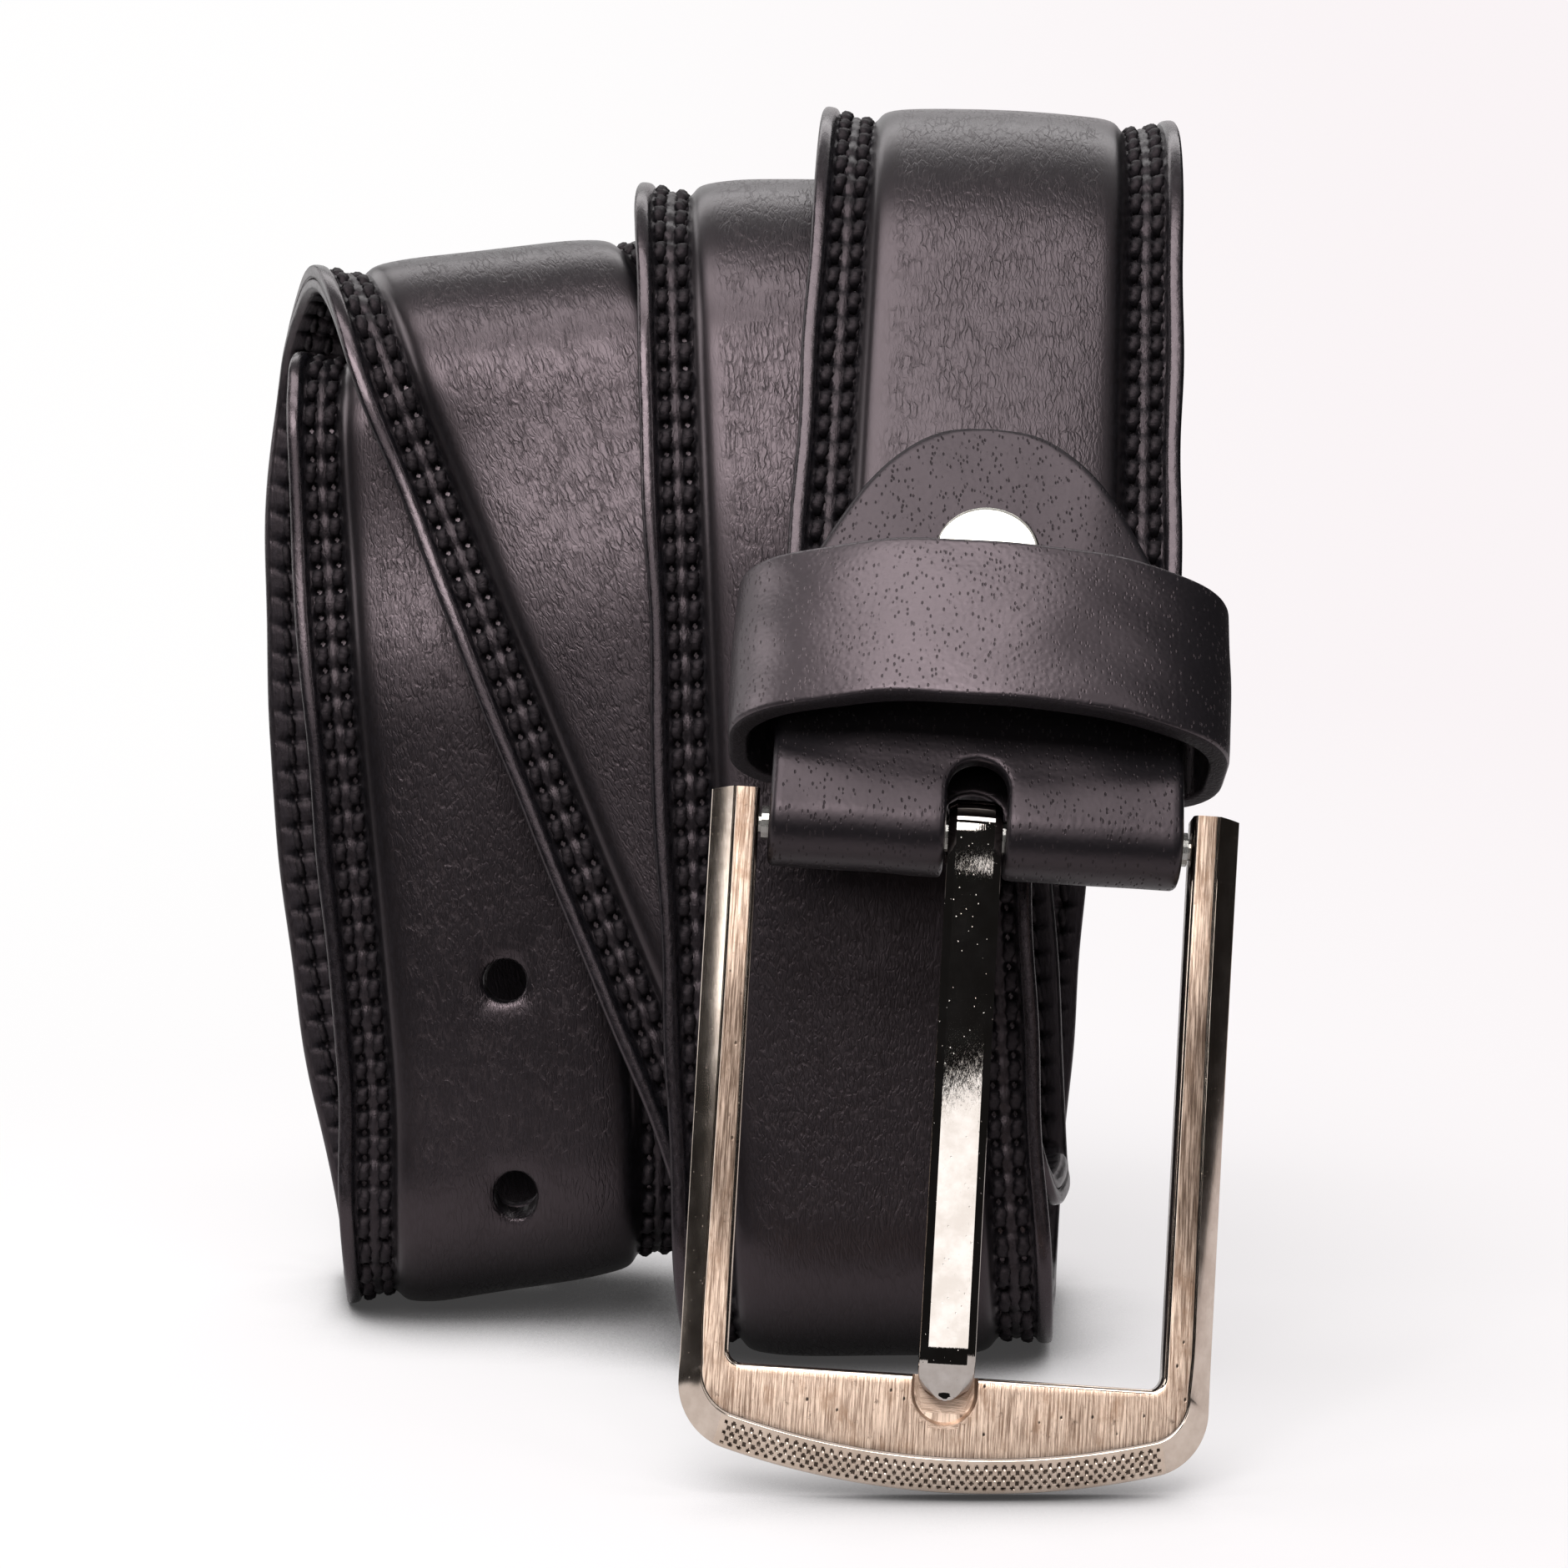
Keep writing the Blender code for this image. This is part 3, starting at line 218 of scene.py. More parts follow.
# Stage in metres: painted light from white at the left to darker, pinker white at the right, reach of the
# floor, how white it stays in shadow, backdrop
WHITE_LEFT = (1.0, 0.995, 0.995)
WHITE_RIGHT = (0.955, 0.905, 0.92)
PAINTED_LIGHT_SPAN = (-0.25, 0.35)
FLOOR_COLOUR = (0.70, 0.68, 0.687)
FLOOR_REACH = (0.42, -0.12, 1.2)
FLOOR_LIFT = 0.6
CONTACT_REACH = 0.022
BACKDROP_HALF = 0.42
BACKDROP_AT = 1.15
BACKDROP_HIGH = 0.9
WING_AT = -0.6
WING_FROM = 0.35
WING_GLOW = 2.0
ROOM_COLOUR = (0.985, 0.965, 0.97)
ROOM_GLOW = 0.018

# Camera: its place before the roll's shift, its pitch, and focal length and picture width in pixels
EYE = (0.0, -283.3, 88.7)
EYE_PITCH = 85.0
FOCAL = 3870.0
PICTURE = 1880.0
FILM = 36.0

# Lamps: their aim, then name, degrees right of the camera, degrees up, distance, size, brightness
LAMP_AIM = (0.0, -0.02, 0.07)
LAMPS = (
    ("key_lamp", -15.0, 68.0, 0.90, (0.80, 0.30), 7.0),
    ("front_lamp", -14.0, 38.0, 0.914, (0.55, 0.30), 13.5),
    ("front_strip", -4.0, 14.3, 0.753, (0.55, 0.178), 2.4),
    ("side_lamp", -92.0, 24.0, 0.80, (0.40, 0.40), 4.5),
    ("right_strip", 50.0, 30.0, 0.80, (0.20, 0.45), 2.0),
    ("back_lamp", 180.0, 50.0, 0.95, (0.90, 0.30), 3.0),
    ("top_lamp", 180.0, 85.0, 1.00, (1.50, 1.10), 0.4),
)


def soften(ends, values, at, reach):
    """A broken line through (ends, values), extended straight and averaged over reach each way."""
    ends = np.asarray(ends, float)
    values = np.asarray(values, float)
    first = (values[1] - values[0]) / (ends[1] - ends[0])
    last = (values[-1] - values[-2]) / (ends[-1] - ends[-2])
    total = np.zeros(len(at))
    shifts = np.linspace(-reach, reach, SOFT_STEPS)
    for shift in shifts:
        spot = at + shift
        line = np.interp(spot, ends, values)
        line = np.where(spot < ends[0], values[0] + (spot - ends[0]) * first, line)
        line = np.where(spot > ends[-1], values[-1] + (spot - ends[-1]) * last, line)
        total += line
    return total / len(shifts)


def run_along(points):
    """Distance along a line of points from its first."""
    steps = np.linalg.norm(np.diff(points, axis=0), axis=1)
    return np.concatenate(((0.0,), np.cumsum(steps)))


def side_line():
    """The strap's middle seen from the end of the roll: depth, height and the former marks."""
    normal = pi / 2 + radians(RAMP_SLOPE)
    arrive = [normal]
    leave = []
    for near, far in zip(FORMERS[:-1], FORMERS[1:]):
        along = (far[2] - near[2], far[3] - near[3])
        turn = atan2(along[1], along[0]) + acos((near[4] - far[4]) / hypot(*along))
        leave.append(turn)
        arrive.append(turn)
    leave.append(radians(TAIL_LEAN))
    first = FORMERS[0]
    spot = np.array(first[2:4]) + first[4] * np.array((cos(normal), sin(normal)))
    ramp = np.array((sin(normal), -cos(normal)))
    points = [spot - ramp * RAMP_LONG * (1 - i / RAMP_POINTS) for i in range(RAMP_POINTS)]
    marks = []
    for k, former in enumerate(FORMERS):
        centre = np.array(former[2:4])
        start = arrive[k]
        end = leave[k]
        while end > start:
            end -= 2 * pi
        while start - end > 2 * pi:
            end += 2 * pi
        count = max(10, int(former[4] * (start - end) / ROUTE_STEP))
        marks.append(len(points) + count / 2)
        for i in range(count + 1):
            turn = start + (end - start) * i / count
            points.append(centre + former[4] * np.array((cos(turn), sin(turn))))
        if k + 1 < len(FORMERS):
            after = FORMERS[k + 1]
            goal = np.array(after[2:4]) + after[4] * np.array((cos(end), sin(end)))
        else:
            goal = points[-1] + TAIL_LONG * np.array((sin(end), -cos(end)))
        here = points[-1]
        count = max(2, int(hypot(*(goal - here)) / ROUTE_STEP))
        last = count if k + 1 == len(FORMERS) else count - 1
        for i in range(1, last + 1):
            points.append(here + (goal - here) * i / count)
    points = np.array(points)
    run = run_along(points)
    marks = np.interp(marks, np.arange(len(run)), run)
    return run, points, marks


class Route:
    """The strap's middle line with its along, across and outward directions."""

    def __init__(self):
        run, points, marks = side_line()
        length = run[-1]
        at = np.arange(0.0, length, ROUTE_STEP)
        ends = [0.0]
        across = [RAMP_ACROSS]
        for k, former in enumerate(FORMERS):
            ends.append(marks[k])
            across.append(former[1])
            for before, share, place in LEG_POINTS:
                if before == k:
                    ends.append(marks[k] + share * (marks[k + 1] - marks[k]))
                    across.append(place)
        ends.append(length)
        across.append(TAIL_ACROSS)
        tilt_ends = [0.0] + list(marks) + [length]
        tilts = [FORMERS[0][5]] + [former[5] for former in FORMERS] + [0.0]
        x = soften(ends, across, at, ACROSS_SOFT)
        y = soften(run, points[:, 0], at, BEND_SOFT)
        z = soften(run, points[:, 1], at, BEND_SOFT)
        tilt = np.radians(soften(tilt_ends, tilts, at, TILT_SOFT))
        self.place = np.stack((x, y, z), axis=1)
        self.run = run_along(self.place)
        self.along = np.gradient(self.place, axis=0)
        self.along /= np.linalg.norm(self.along, axis=1)[:, None]
        level = np.stack((np.cos(tilt), np.zeros(len(at)), np.sin(tilt)), axis=1)
        self.across = level - (level * self.along).sum(axis=1)[:, None] * self.along
        self.across /= np.linalg.norm(self.across, axis=1)[:, None]
        self.outward = np.cross(self.across, self.along)
        self.length = float(self.run[-1])
        self.marks = np.interp(marks, at, self.run)

    def at(self, table, run):
        """Rows of a table of the route, between its stations."""
        return np.stack([np.interp(run, self.run, table[:, i]) for i in range(3)], axis=-1)

    def wind(self, flat):
        """Flat points (across, along, out) to their places on the roll."""
        run = flat[:, 1]
        over = np.clip(run - self.length, 0.0, None)[:, None]
        spot = self.at(self.place, run) + self.along[-1] * over
        return spot + self.at(self.across, run) * flat[:, :1] + self.at(self.outward, run) * flat[:, 2:3]


ROUTE = Route()
TIP = ROUTE.length

# The strap's buckle end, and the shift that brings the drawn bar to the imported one
FOOT = (ROUTE.place[0], ROUTE.across[0], ROUTE.along[0], ROUTE.outward[0])
bar_low, bar_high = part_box("buckle_bar")
SHIFT = (np.array(bar_low) + np.array(bar_high)) / 2 / MM
SHIFT = SHIFT - (FOOT[0] + FOOT[3] * FOLD_MIDDLE - FOOT[2] * BAR_DROP)


def smooth(value, low, high):
    """A share that eases from 0 at low to 1 at high."""
    share = np.clip((np.asarray(value, float) - low) / (high - low), 0.0, 1.0)
    return share * share * (3.0 - 2.0 * share)


def ripple(x, y, seed, longest, count=9):
    """A gentle uneven surface between about -1 and 1, made of a few waves."""
    pick = np.random.default_rng(seed)
    total = np.zeros(np.broadcast(x, y).shape)
    for _ in range(count):
        length = longest * pick.uniform(0.35, 1.0)
        turn = pick.uniform(0.0, 2 * pi)
        phase = pick.uniform(0.0, 2 * pi)
        total += np.sin(2 * pi / length * (cos(turn) * x + sin(turn) * y) + phase)
    return total / sqrt(count)


def wound(flat):
    """Flat strap points to their places on the standing roll.

    The edges lift a little at the top bends, the front legs bulge outward, the third turn leans out
    to the left behind its bend and the fourth settles inside it.
    """
    flat = np.array(flat, float)
    up = ROUTE.at(ROUTE.outward, flat[:, 1])[:, 2]
    flat[:, 2] += EDGE_LIFT * smooth(up, 0.5, 0.92) * smooth(np.abs(flat[:, 0]), 11.5, 19.5)
    for first, last in FRONT_LEGS:
        share = (flat[:, 1] - ROUTE.marks[first]) / (ROUTE.marks[last] - ROUTE.marks[first])
        flat[:, 2] += LEG_BULGE * soften(BULGE_SHARES, (0.0, 0.0, 1.0, 0.0, 0.0), share, BULGE_SOFT)
    spots = ROUTE.wind(flat) + SHIFT
    past = flat[:, 1] - ROUTE.marks[TURN_3]
    spots[:, 0] -= TURN_3_LEAN * smooth(past, 0.0, 20.0) * smooth(past, 62.0, 24.0)
    past = np.abs(flat[:, 1] - ROUTE.marks[TURN_4])
    spots[:, 2] -= TURN_4_SAG * smooth(past, 45.0, 4.0)
    spots[:, 2] = np.maximum(spots[:, 2], 0.0)
    return spots


def on_foot(points):
    """Points across, along and out at the strap's buckle end, in the roll's place."""
    p = np.asarray(points, float)
    return FOOT[0] + SHIFT + p[:, :1] * FOOT[1] + p[:, 1:2] * FOOT[2] + p[:, 2:3] * FOOT[3]


def on_swing(points):
    """Points in the buckle's own frame, X along its bar, in the roll's place."""
    p = np.asarray(points, float)
    lean = radians(BUCKLE_LEAN)
    along = p[:, 1] * cos(lean) - p[:, 2] * sin(lean) - BAR_DROP
    out = p[:, 1] * sin(lean) + p[:, 2] * cos(lean) + FOLD_MIDDLE
    return on_foot(np.stack((p[:, 0], along, out), axis=1))


def placed(name, data):
    """A new object in the scene."""
    item = bpy.data.objects.new(name, data)
    bpy.context.scene.collection.objects.link(item)
    return item


def closed_mesh(name, points, faces, flat, materials, kinds=None):
    """A mesh with its faces outward and points that meet joined, which keeps its flat drawing."""
    mesh = bpy.data.meshes.new(name)
    mesh.from_pydata((np.asarray(points) * MM).tolist(), [], faces)
    for look in materials:
        mesh.materials.append(look)
    if kinds is not None:
        mesh.polygons.foreach_set("material_index", np.asarray(kinds, np.int32))
    grain = mesh.attributes.new("flat", "FLOAT_VECTOR", "POINT")
    grain.data.foreach_set("vector", np.asarray(flat, np.float32).ravel())
    body = bmesh.new()
    body.from_mesh(mesh)
    bmesh.ops.remove_doubles(body, verts=body.verts, dist=0.000002)
    bmesh.ops.recalc_face_normals(body, faces=body.faces)
    body.to_mesh(mesh)
    body.free()
    return mesh


def piece(name, points, faces, flat, body, nodes, materials, kinds=None, sharp=None):
    """A closed mesh as its own object, riding on a body and standing for CAD nodes."""
    mesh = closed_mesh(name, points, faces, flat, materials, kinds)
    mesh.shade_smooth()
    if sharp is not None:
        mesh.set_sharp_from_angle(angle=radians(sharp))
    item = placed(name, mesh)
    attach(item, body)
    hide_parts(*nodes)
    return item


def tube_faces(rings, count, caps=True):
    """Quads of a tube of rings with count points each, and its two ends."""
    faces = []
    for near in range(0, (rings - 1) * count, count):
        far = near + count
        for j in range(count):
            k = (j + 1) % count
            faces.append((near + j, near + k, far + k, far + j))
    if caps:
        faces.append(tuple(range(count)))
        faces.append(tuple(range((rings - 1) * count, rings * count)))
    return faces


class Nodes:
    """A node tree built step by step."""

    def __init__(self, owner):
        owner.use_nodes = True
        self.tree = owner.node_tree

    def node(self, kind, settings=None, **inputs):
        made = self.tree.nodes.new(kind)
        for key, value in (settings or {}).items():
            setattr(made, key, value)
        for key, value in inputs.items():
            self.put(made.inputs[key.replace("_", " ")], value)
        return made

    def put(self, socket, value):
        """A link where the value comes from a node, or else the value itself."""
        if isinstance(value, bpy.types.NodeSocket):
            self.tree.links.new(value, socket)
        else:
            socket.default_value = value

    def fill(self, made, *values):
        """Values for the first sockets of a node, in order."""
        for socket, value in zip(made.inputs, values):
            self.put(socket, value)
        return made.outputs[0]

    def math(self, kind, *values):
        return self.fill(self.node("ShaderNodeMath", {"operation": kind}), *values)

    def scaled(self, value, share, base):
        """The value times a share, plus a base."""
        return self.math("MULTIPLY_ADD", value, share, base)

    def times(self, first, second):
        return self.math("MULTIPLY", first, second)

    def less(self, first, second):
        return self.math("SUBTRACT", first, second)

    def most(self, first, second):
        return self.math("MAXIMUM", first, second)

    def between(self, value, low, high, start=0.0, end=1.0):
        """A value that eases from start at low to end at high."""
        made = self.node("ShaderNodeMapRange", {"interpolation_type": "SMOOTHSTEP"})
        return self.fill(made, value, low, high, start, end)

    def mix(self, share, first, second):
        """A colour between two others."""
        made = self.node("ShaderNodeMix", {"data_type": "RGBA"}, Factor=share)
        self.put(made.inputs[6], first)
        self.put(made.inputs[7], second)
        return made.outputs[2]

    def parts(self, place):
        return self.node("ShaderNodeSeparateXYZ", Vector=place).outputs


class Look(Nodes):
    """A material of the belt or of the stage."""

    def __init__(self, name, solid=False):
        self.solid = solid
        self.material = bpy.data.materials.new(name)
        super().__init__(self.material)
        self.shader = self.tree.nodes["Principled BSDF"]
        self.surface = self.tree.nodes["Material Output"].inputs["Surface"]

    def place(self):
        return self.node("ShaderNodeTexCoord").outputs["Object"]

    def spots(self, stretch=(1.0, 1.0, 1.0), turn=0.0):
        """Grain places in millimetres, stretched, from the flat drawing or the solid's own place."""
        if self.solid:
            found = self.place()
            stretch = tuple(share / MM for share in stretch)
        else:
            found = self.node("ShaderNodeAttribute", {"attribute_name": "flat"}).outputs["Vector"]
        moved = self.node("ShaderNodeMapping", Vector=found, Scale=stretch,
                          Rotation=(0.0, 0.0, radians(turn)))
        return moved.outputs["Vector"]

    def noise(self, place, scale, detail=3.0, rough=0.55, twist=0.0):
        made = self.node("ShaderNodeTexNoise", Vector=place, Scale=scale, Detail=detail,
                         Roughness=rough, Distortion=twist)
        return made.outputs["Fac"]

    def cells(self, place, scale, feature="F1"):
        made = self.node("ShaderNodeTexVoronoi", {"feature": feature}, Vector=place, Scale=scale)
        return made.outputs["Distance"]

    def bump(self, height, depth, strength=1.0):
        """Relief from a height of 0 to 1 that stands for depth millimetres."""
        made = self.node("ShaderNodeBump", Height=height, Distance=depth * MM, Strength=strength)
        self.put(self.shader.inputs["Normal"], made.outputs["Normal"])

    def set(self, **values):
        for key, value in values.items():
            self.put(self.shader.inputs[key.replace("_", " ")], value)
        return self.material

    def leather(self, colour, rough, gloss):
        """The finish that all leather and thread share."""
        return self.set(Base_Color=colour, Roughness=rough, Specular_IOR_Level=gloss,
                        Specular_Tint=SHEEN_TINT)


def shade(r, g, b):
    return (r, g, b, 1.0)


BLACK = (0.0037, 0.0036, 0.0045)
SHEEN_TINT = shade(1.0, 0.80, 0.86)


def dark(share):
    """The leather's black, lighter or darker by a share."""
    return shade(*(c * share for c in BLACK))


def crown_leather():
    """Black grain leather, creased along the strap and smooth beside the stitching."""
    look = Look("leather_crown")
    place = look.spots()
    side = look.math("ABSOLUTE", look.parts(place)["X"])
    grained = look.between(side, 9.2, 11.6, 1.0, 0.06)
    bent = look.node("ShaderNodeTexNoise", Vector=place, Scale=0.7, Detail=3.0)
    moved = look.node("ShaderNodeVectorMath", {"operation": "MULTIPLY_ADD"})
    moved = look.fill(moved, bent.outputs["Color"], (0.8, 1.3, 0.0), place)
    long = look.node("ShaderNodeMapping", Vector=moved, Scale=(1.1, 0.28, 1.0))
    cell = look.cells(long.outputs[0], 1.55, "DISTANCE_TO_EDGE")
    crack = look.between(cell, 0.0, 0.15)
    shown = look.between(look.noise(place, 0.45, 2.0), 0.38, 0.62)
    crack = look.most(crack, look.less(0.95, shown))
    small = look.between(look.cells(long.outputs[0], 2.6, "DISTANCE_TO_EDGE"), 0.0, 0.2)
    fine = look.noise(place, 3.4, 2.0, 0.5)
    height = look.times(crack, 0.42)
    height = look.scaled(small, 0.22, height)
    height = look.scaled(fine, 0.10, height)
    calm = look.scaled(fine, 0.06, 0.8)
    relief = look.node("ShaderNodeMix", Factor=grained)
    look.put(relief.inputs[2], calm)
    look.put(relief.inputs[3], height)
    look.bump(relief.outputs[0], 0.062, 0.9)
    patch = look.noise(place, 0.06, 3.0, 0.6)
    rough = look.scaled(patch, 0.10, 0.23)
    rough = look.scaled(fine, 0.08, rough)
    worn = look.times(look.less(1.0, crack), grained)
    rough = look.scaled(worn, 0.12, rough)
    # Painted shade: the colour is darker where the grain is low, in the creases.
    colour = look.mix(look.between(height, 0.35, 0.8), dark(0.35), dark(1.1))
    return look.leather(colour, rough, 0.52)


def plain_leather(name, tone, rough, relief, gloss):
    """Smooth dark leather: lips, edges and linings, with fine fibre."""
    look = Look(name)
    fibre = look.noise(look.spots((1.0, 0.35, 1.0)), 2.4, 3.0, 0.55, 0.4)
    fine = look.noise(look.spots(), 6.0, 1.0, 0.5)
    height = look.scaled(fine, 0.2, fibre)
    look.bump(height, relief, 0.8)
    colour = look.mix(look.between(fibre, 0.3, 0.75), dark(tone * 0.5), dark(tone * 1.25))
    return look.leather(colour, look.scaled(fibre, 0.16, rough - 0.08), gloss)


def pored_leather(name, tone, rough, pebble, gloss):
    """Leather with fine slanted pores and pebbles, for the chape and the keeper."""
    look = Look(name)
    place = look.spots()
    pores = look.cells(look.spots((1.0, 0.5, 1.0), 32.0), 2.5)
    open_pore = look.between(pores, 0.12, 0.30)
    where = look.between(look.noise(place, 0.30, 2.0), 0.30, 0.44)
    open_pore = look.most(open_pore, look.less(1.0, where))
    bead = look.between(look.cells(place, 2.2, "SMOOTH_F1"), 0.05, 0.75, 1.0, 0.0)
    fine = look.noise(place, 3.0, 2.0, 0.5)
    height = look.times(open_pore, 0.55)
    height = look.scaled(bead, pebble, height)
    height = look.scaled(fine, 0.08, height)
    look.bump(height, 0.07, 0.9)
    # Painted shade: the pores are coloured darker than the leather round them.
    colour = look.mix(open_pore, dark(0.2 * tone), dark(tone))
    shine = look.scaled(fine, 0.10, rough - 0.05)
    shine = look.scaled(look.less(1.0, open_pore), 0.3, shine)
    return look.leather(colour, shine, gloss)


def thread_look():
    """Waxed black thread with its twist and stray fibres."""
    look = Look("waxed_thread")
    twist = look.noise(look.spots((2.0, 5.0, 2.0), 30.0), 1.0, 2.0, 0.5)
    fibre = look.noise(look.spots((1.0, 0.4, 1.0), -28.0), 9.0, 2.0, 0.6)
    look.bump(look.scaled(fibre, 0.5, twist), 0.06, 1.0)
    colour = look.mix(twist, dark(0.4), dark(1.3))
    return look.leather(colour, look.scaled(fibre, 0.2, 0.50), 0.28)


def brushed_metal():
    """Warm gunmetal brushed lengthwise, blotched and a little pitted, with painted shade down the middle
    of the rails.
    """
    look = Look("brushed_gunmetal")
    lines = look.noise(look.spots((6.0, 0.20, 1.0)), 1.0, 5.0, 0.7)
    hair = look.noise(look.spots((16.0, 0.35, 1.0)), 1.0, 3.0, 0.6)
    blotch = look.between(look.noise(look.spots((0.40, 0.22, 1.0)), 1.0, 5.0, 0.66), 0.48, 0.70)
    grime = look.between(look.noise(look.spots((0.9, 0.7, 1.0)), 1.0, 4.0, 0.7), 0.60, 0.72)
    pit = look.between(look.cells(look.spots((1.0, 0.6, 1.0)), 0.75), 0.04, 0.11)
    height = look.scaled(hair, 0.5, lines)
    height = look.scaled(pit, 0.8, height)
    look.bump(height, 0.035, 0.7)
    base = look.mix(look.between(lines, 0.34, 0.66), shade(0.20, 0.128, 0.09), shade(0.80, 0.61, 0.485))
    base = look.mix(look.times(blotch, 0.7), base, shade(0.30, 0.18, 0.115))
    base = look.mix(look.times(grime, 0.6), base, shade(0.09, 0.055, 0.04))
    base = look.mix(look.less(1.0, pit), base, shade(0.04, 0.03, 0.025))
    parts = look.parts(look.spots())
    # Painted shade: the middle of the rails is darkened in streaks towards a near-black brown, standing
    # in for their dark reflection.
    rail = look.between(look.math("ABSOLUTE", parts["X"]), 18.4, 19.6)
    high = look.between(parts["Y"], -18.0, -8.0, 1.0, 0.0)
    low = look.between(parts["Y"], -45.0, -33.0)
    rail_painted_shade = look.times(look.times(rail, high), low)
    rail_painted_shade = look.times(rail_painted_shade, look.between(lines, 0.30, 0.66, 1.0, 0.62))
    base = look.mix(rail_painted_shade, base, shade(0.075, 0.05, 0.037))
    rough = look.scaled(hair, 0.18, 0.24)
    return look.set(Base_Color=base, Metallic=1.0, Roughness=rough)


def polished_metal(name, tone, rough, wear=0.08, scratch=0.006, solid=False):
    """Polished plating with faint scratches and specks."""
    look = Look(name, solid)
    line = look.noise(look.spots((5.0, 0.6, 1.0), 20.0), 1.0, 4.0, 0.6)
    cloud = look.noise(look.spots(), 0.35, 4.0, 0.6)
    speck = look.between(look.cells(look.spots(), 1.6), 0.03, 0.10)
    look.bump(look.scaled(speck, 1.5, line), scratch, 0.6)
    base = look.mix(look.between(cloud, 0.35, 0.7), shade(tone[0] * 0.82, tone[1] * 0.8, tone[2] * 0.78),
                    shade(*tone))
    return look.set(Base_Color=base, Metallic=1.0,
                    Roughness=look.scaled(cloud, wear, rough))


LOOKS = {
    "crown": crown_leather(),
    "lip": plain_leather("leather_lip", 1.2, 0.27, 0.04, 0.6),
    "channel": plain_leather("leather_channel", 1.0, 0.40, 0.12, 0.36),
    "edge": plain_leather("leather_edge", 1.2, 0.38, 0.08, 0.5),
    "lining": plain_leather("leather_lining", 1.6, 0.50, 0.10, 0.3),
    "chape": pored_leather("leather_chape", 1.1, 0.38, 0.12, 0.46),
    "keeper": pored_leather("leather_keeper", 1.2, 0.40, 0.24, 0.85),
    "cut": plain_leather("leather_cut", 1.3, 0.60, 0.15, 0.25),
    "thread": thread_look(),
    "brushed": brushed_metal(),
    "bevel": polished_metal("polished_bevel", (0.60, 0.51, 0.44), 0.10),
    "prong": polished_metal("polished_prong", (0.46, 0.425, 0.40), 0.015, 0.03, 0.012),
    "post": polished_metal("polished_post", (0.96, 0.94, 0.87), 0.12, 0.05, 0.003),
    "steel": polished_metal("plated_steel", (0.36, 0.35, 0.335), 0.22, solid=True),
    "strip": polished_metal("dimpled_strip", (0.66, 0.545, 0.455), 0.30),
    "dot": polished_metal("dimple_floor", (0.09, 0.068, 0.055), 0.35),
}

# Right half of the strap's outline from its edge to its middle: across, height
FACE_SIDE = ((18.70, 0.02), (18.92, 0.12), (19.0, 0.38), (19.0, 1.08), (18.95, 1.34), (18.82, 1.52),
             (18.60, 1.60), (18.20, 1.62), (17.80, 1.58), (17.58, 1.48), (17.42, 1.28), (17.30, 1.08))
FACE_CHANNEL = ((17.10, 0.96), (16.85, 0.93), (16.62, 0.92), (16.4, 0.92), (16.18, 0.92), (15.95, 0.95),
                (15.65, 1.02), (15.3, 1.06), (14.95, 1.02), (14.65, 0.95), (14.42, 0.92), (14.2, 0.92),
                (13.98, 0.92), (13.75, 0.93))
FACE_CROWN = ((13.45, 1.02), (13.2, 1.24), (12.95, 1.56), (12.7, 1.88), (12.4, 2.15), (12.0, 2.36),
              (11.4, 2.54), (10.6, 2.68), (9.6, 2.80), (8.4, 2.90), (7.2, 2.96), (6.0, 3.0), (4.0, 3.03),
              (2.0, 3.05), (0.0, 3.05))
LINING_SIDE = ((18.72, -0.02), (18.95, -0.16), (19.0, -0.5), (18.97, -0.95), (18.82, -1.3), (18.5, -1.55))
LINING_SIDE += tuple((v, LINING_LOW) for v in (18.1, 16.9, 16.65, 16.4, 16.15, 15.3, 14.45, 14.2, 13.95,
                                               10.0, 6.0, 4.0, 2.0, 0.0))
# Columns underneath, stations of the rings within a stitch, half width of the block round a hole
UNDER = (12.0, 6.0, 4.0, 2.0, 0.0)
IN_PITCH = (0.0, 0.32, 0.62, 1.1, 1.9, 2.38, 2.68)
BLOCK = 6.0


def across_ring(side, under_height):
    """A closed outline of a layer, from the left edge over its shaped side and back underneath."""
    left = [(-v, h) for v, h in side]
    right = [(v, h) for v, h in reversed(side) if v > 0.0]
    under = [(v, under_height) for v in UNDER]
    return np.array(left + right + under + [(-v, under_height) for v in reversed(UNDER) if v > 0.0])


def strap_stations():
    """Runs of the strap's rings: seven in each stitch, and closer together round the tip."""
    first = int(STRAP_START / STITCH_PITCH) + 1
    last = int((TIP - TIP_LENGTH) / STITCH_PITCH)
    body = [k * STITCH_PITCH + step for k in range(first, last) for step in IN_PITCH]
    end = [last * STITCH_PITCH]
    for i in range(1, 25):
        end.append(TIP - TIP_LENGTH * (1.0 - sin(pi / 2 * i / 24)))
    return np.array([STRAP_START] + body + [run for run in end if run > body[-1] + 0.1])


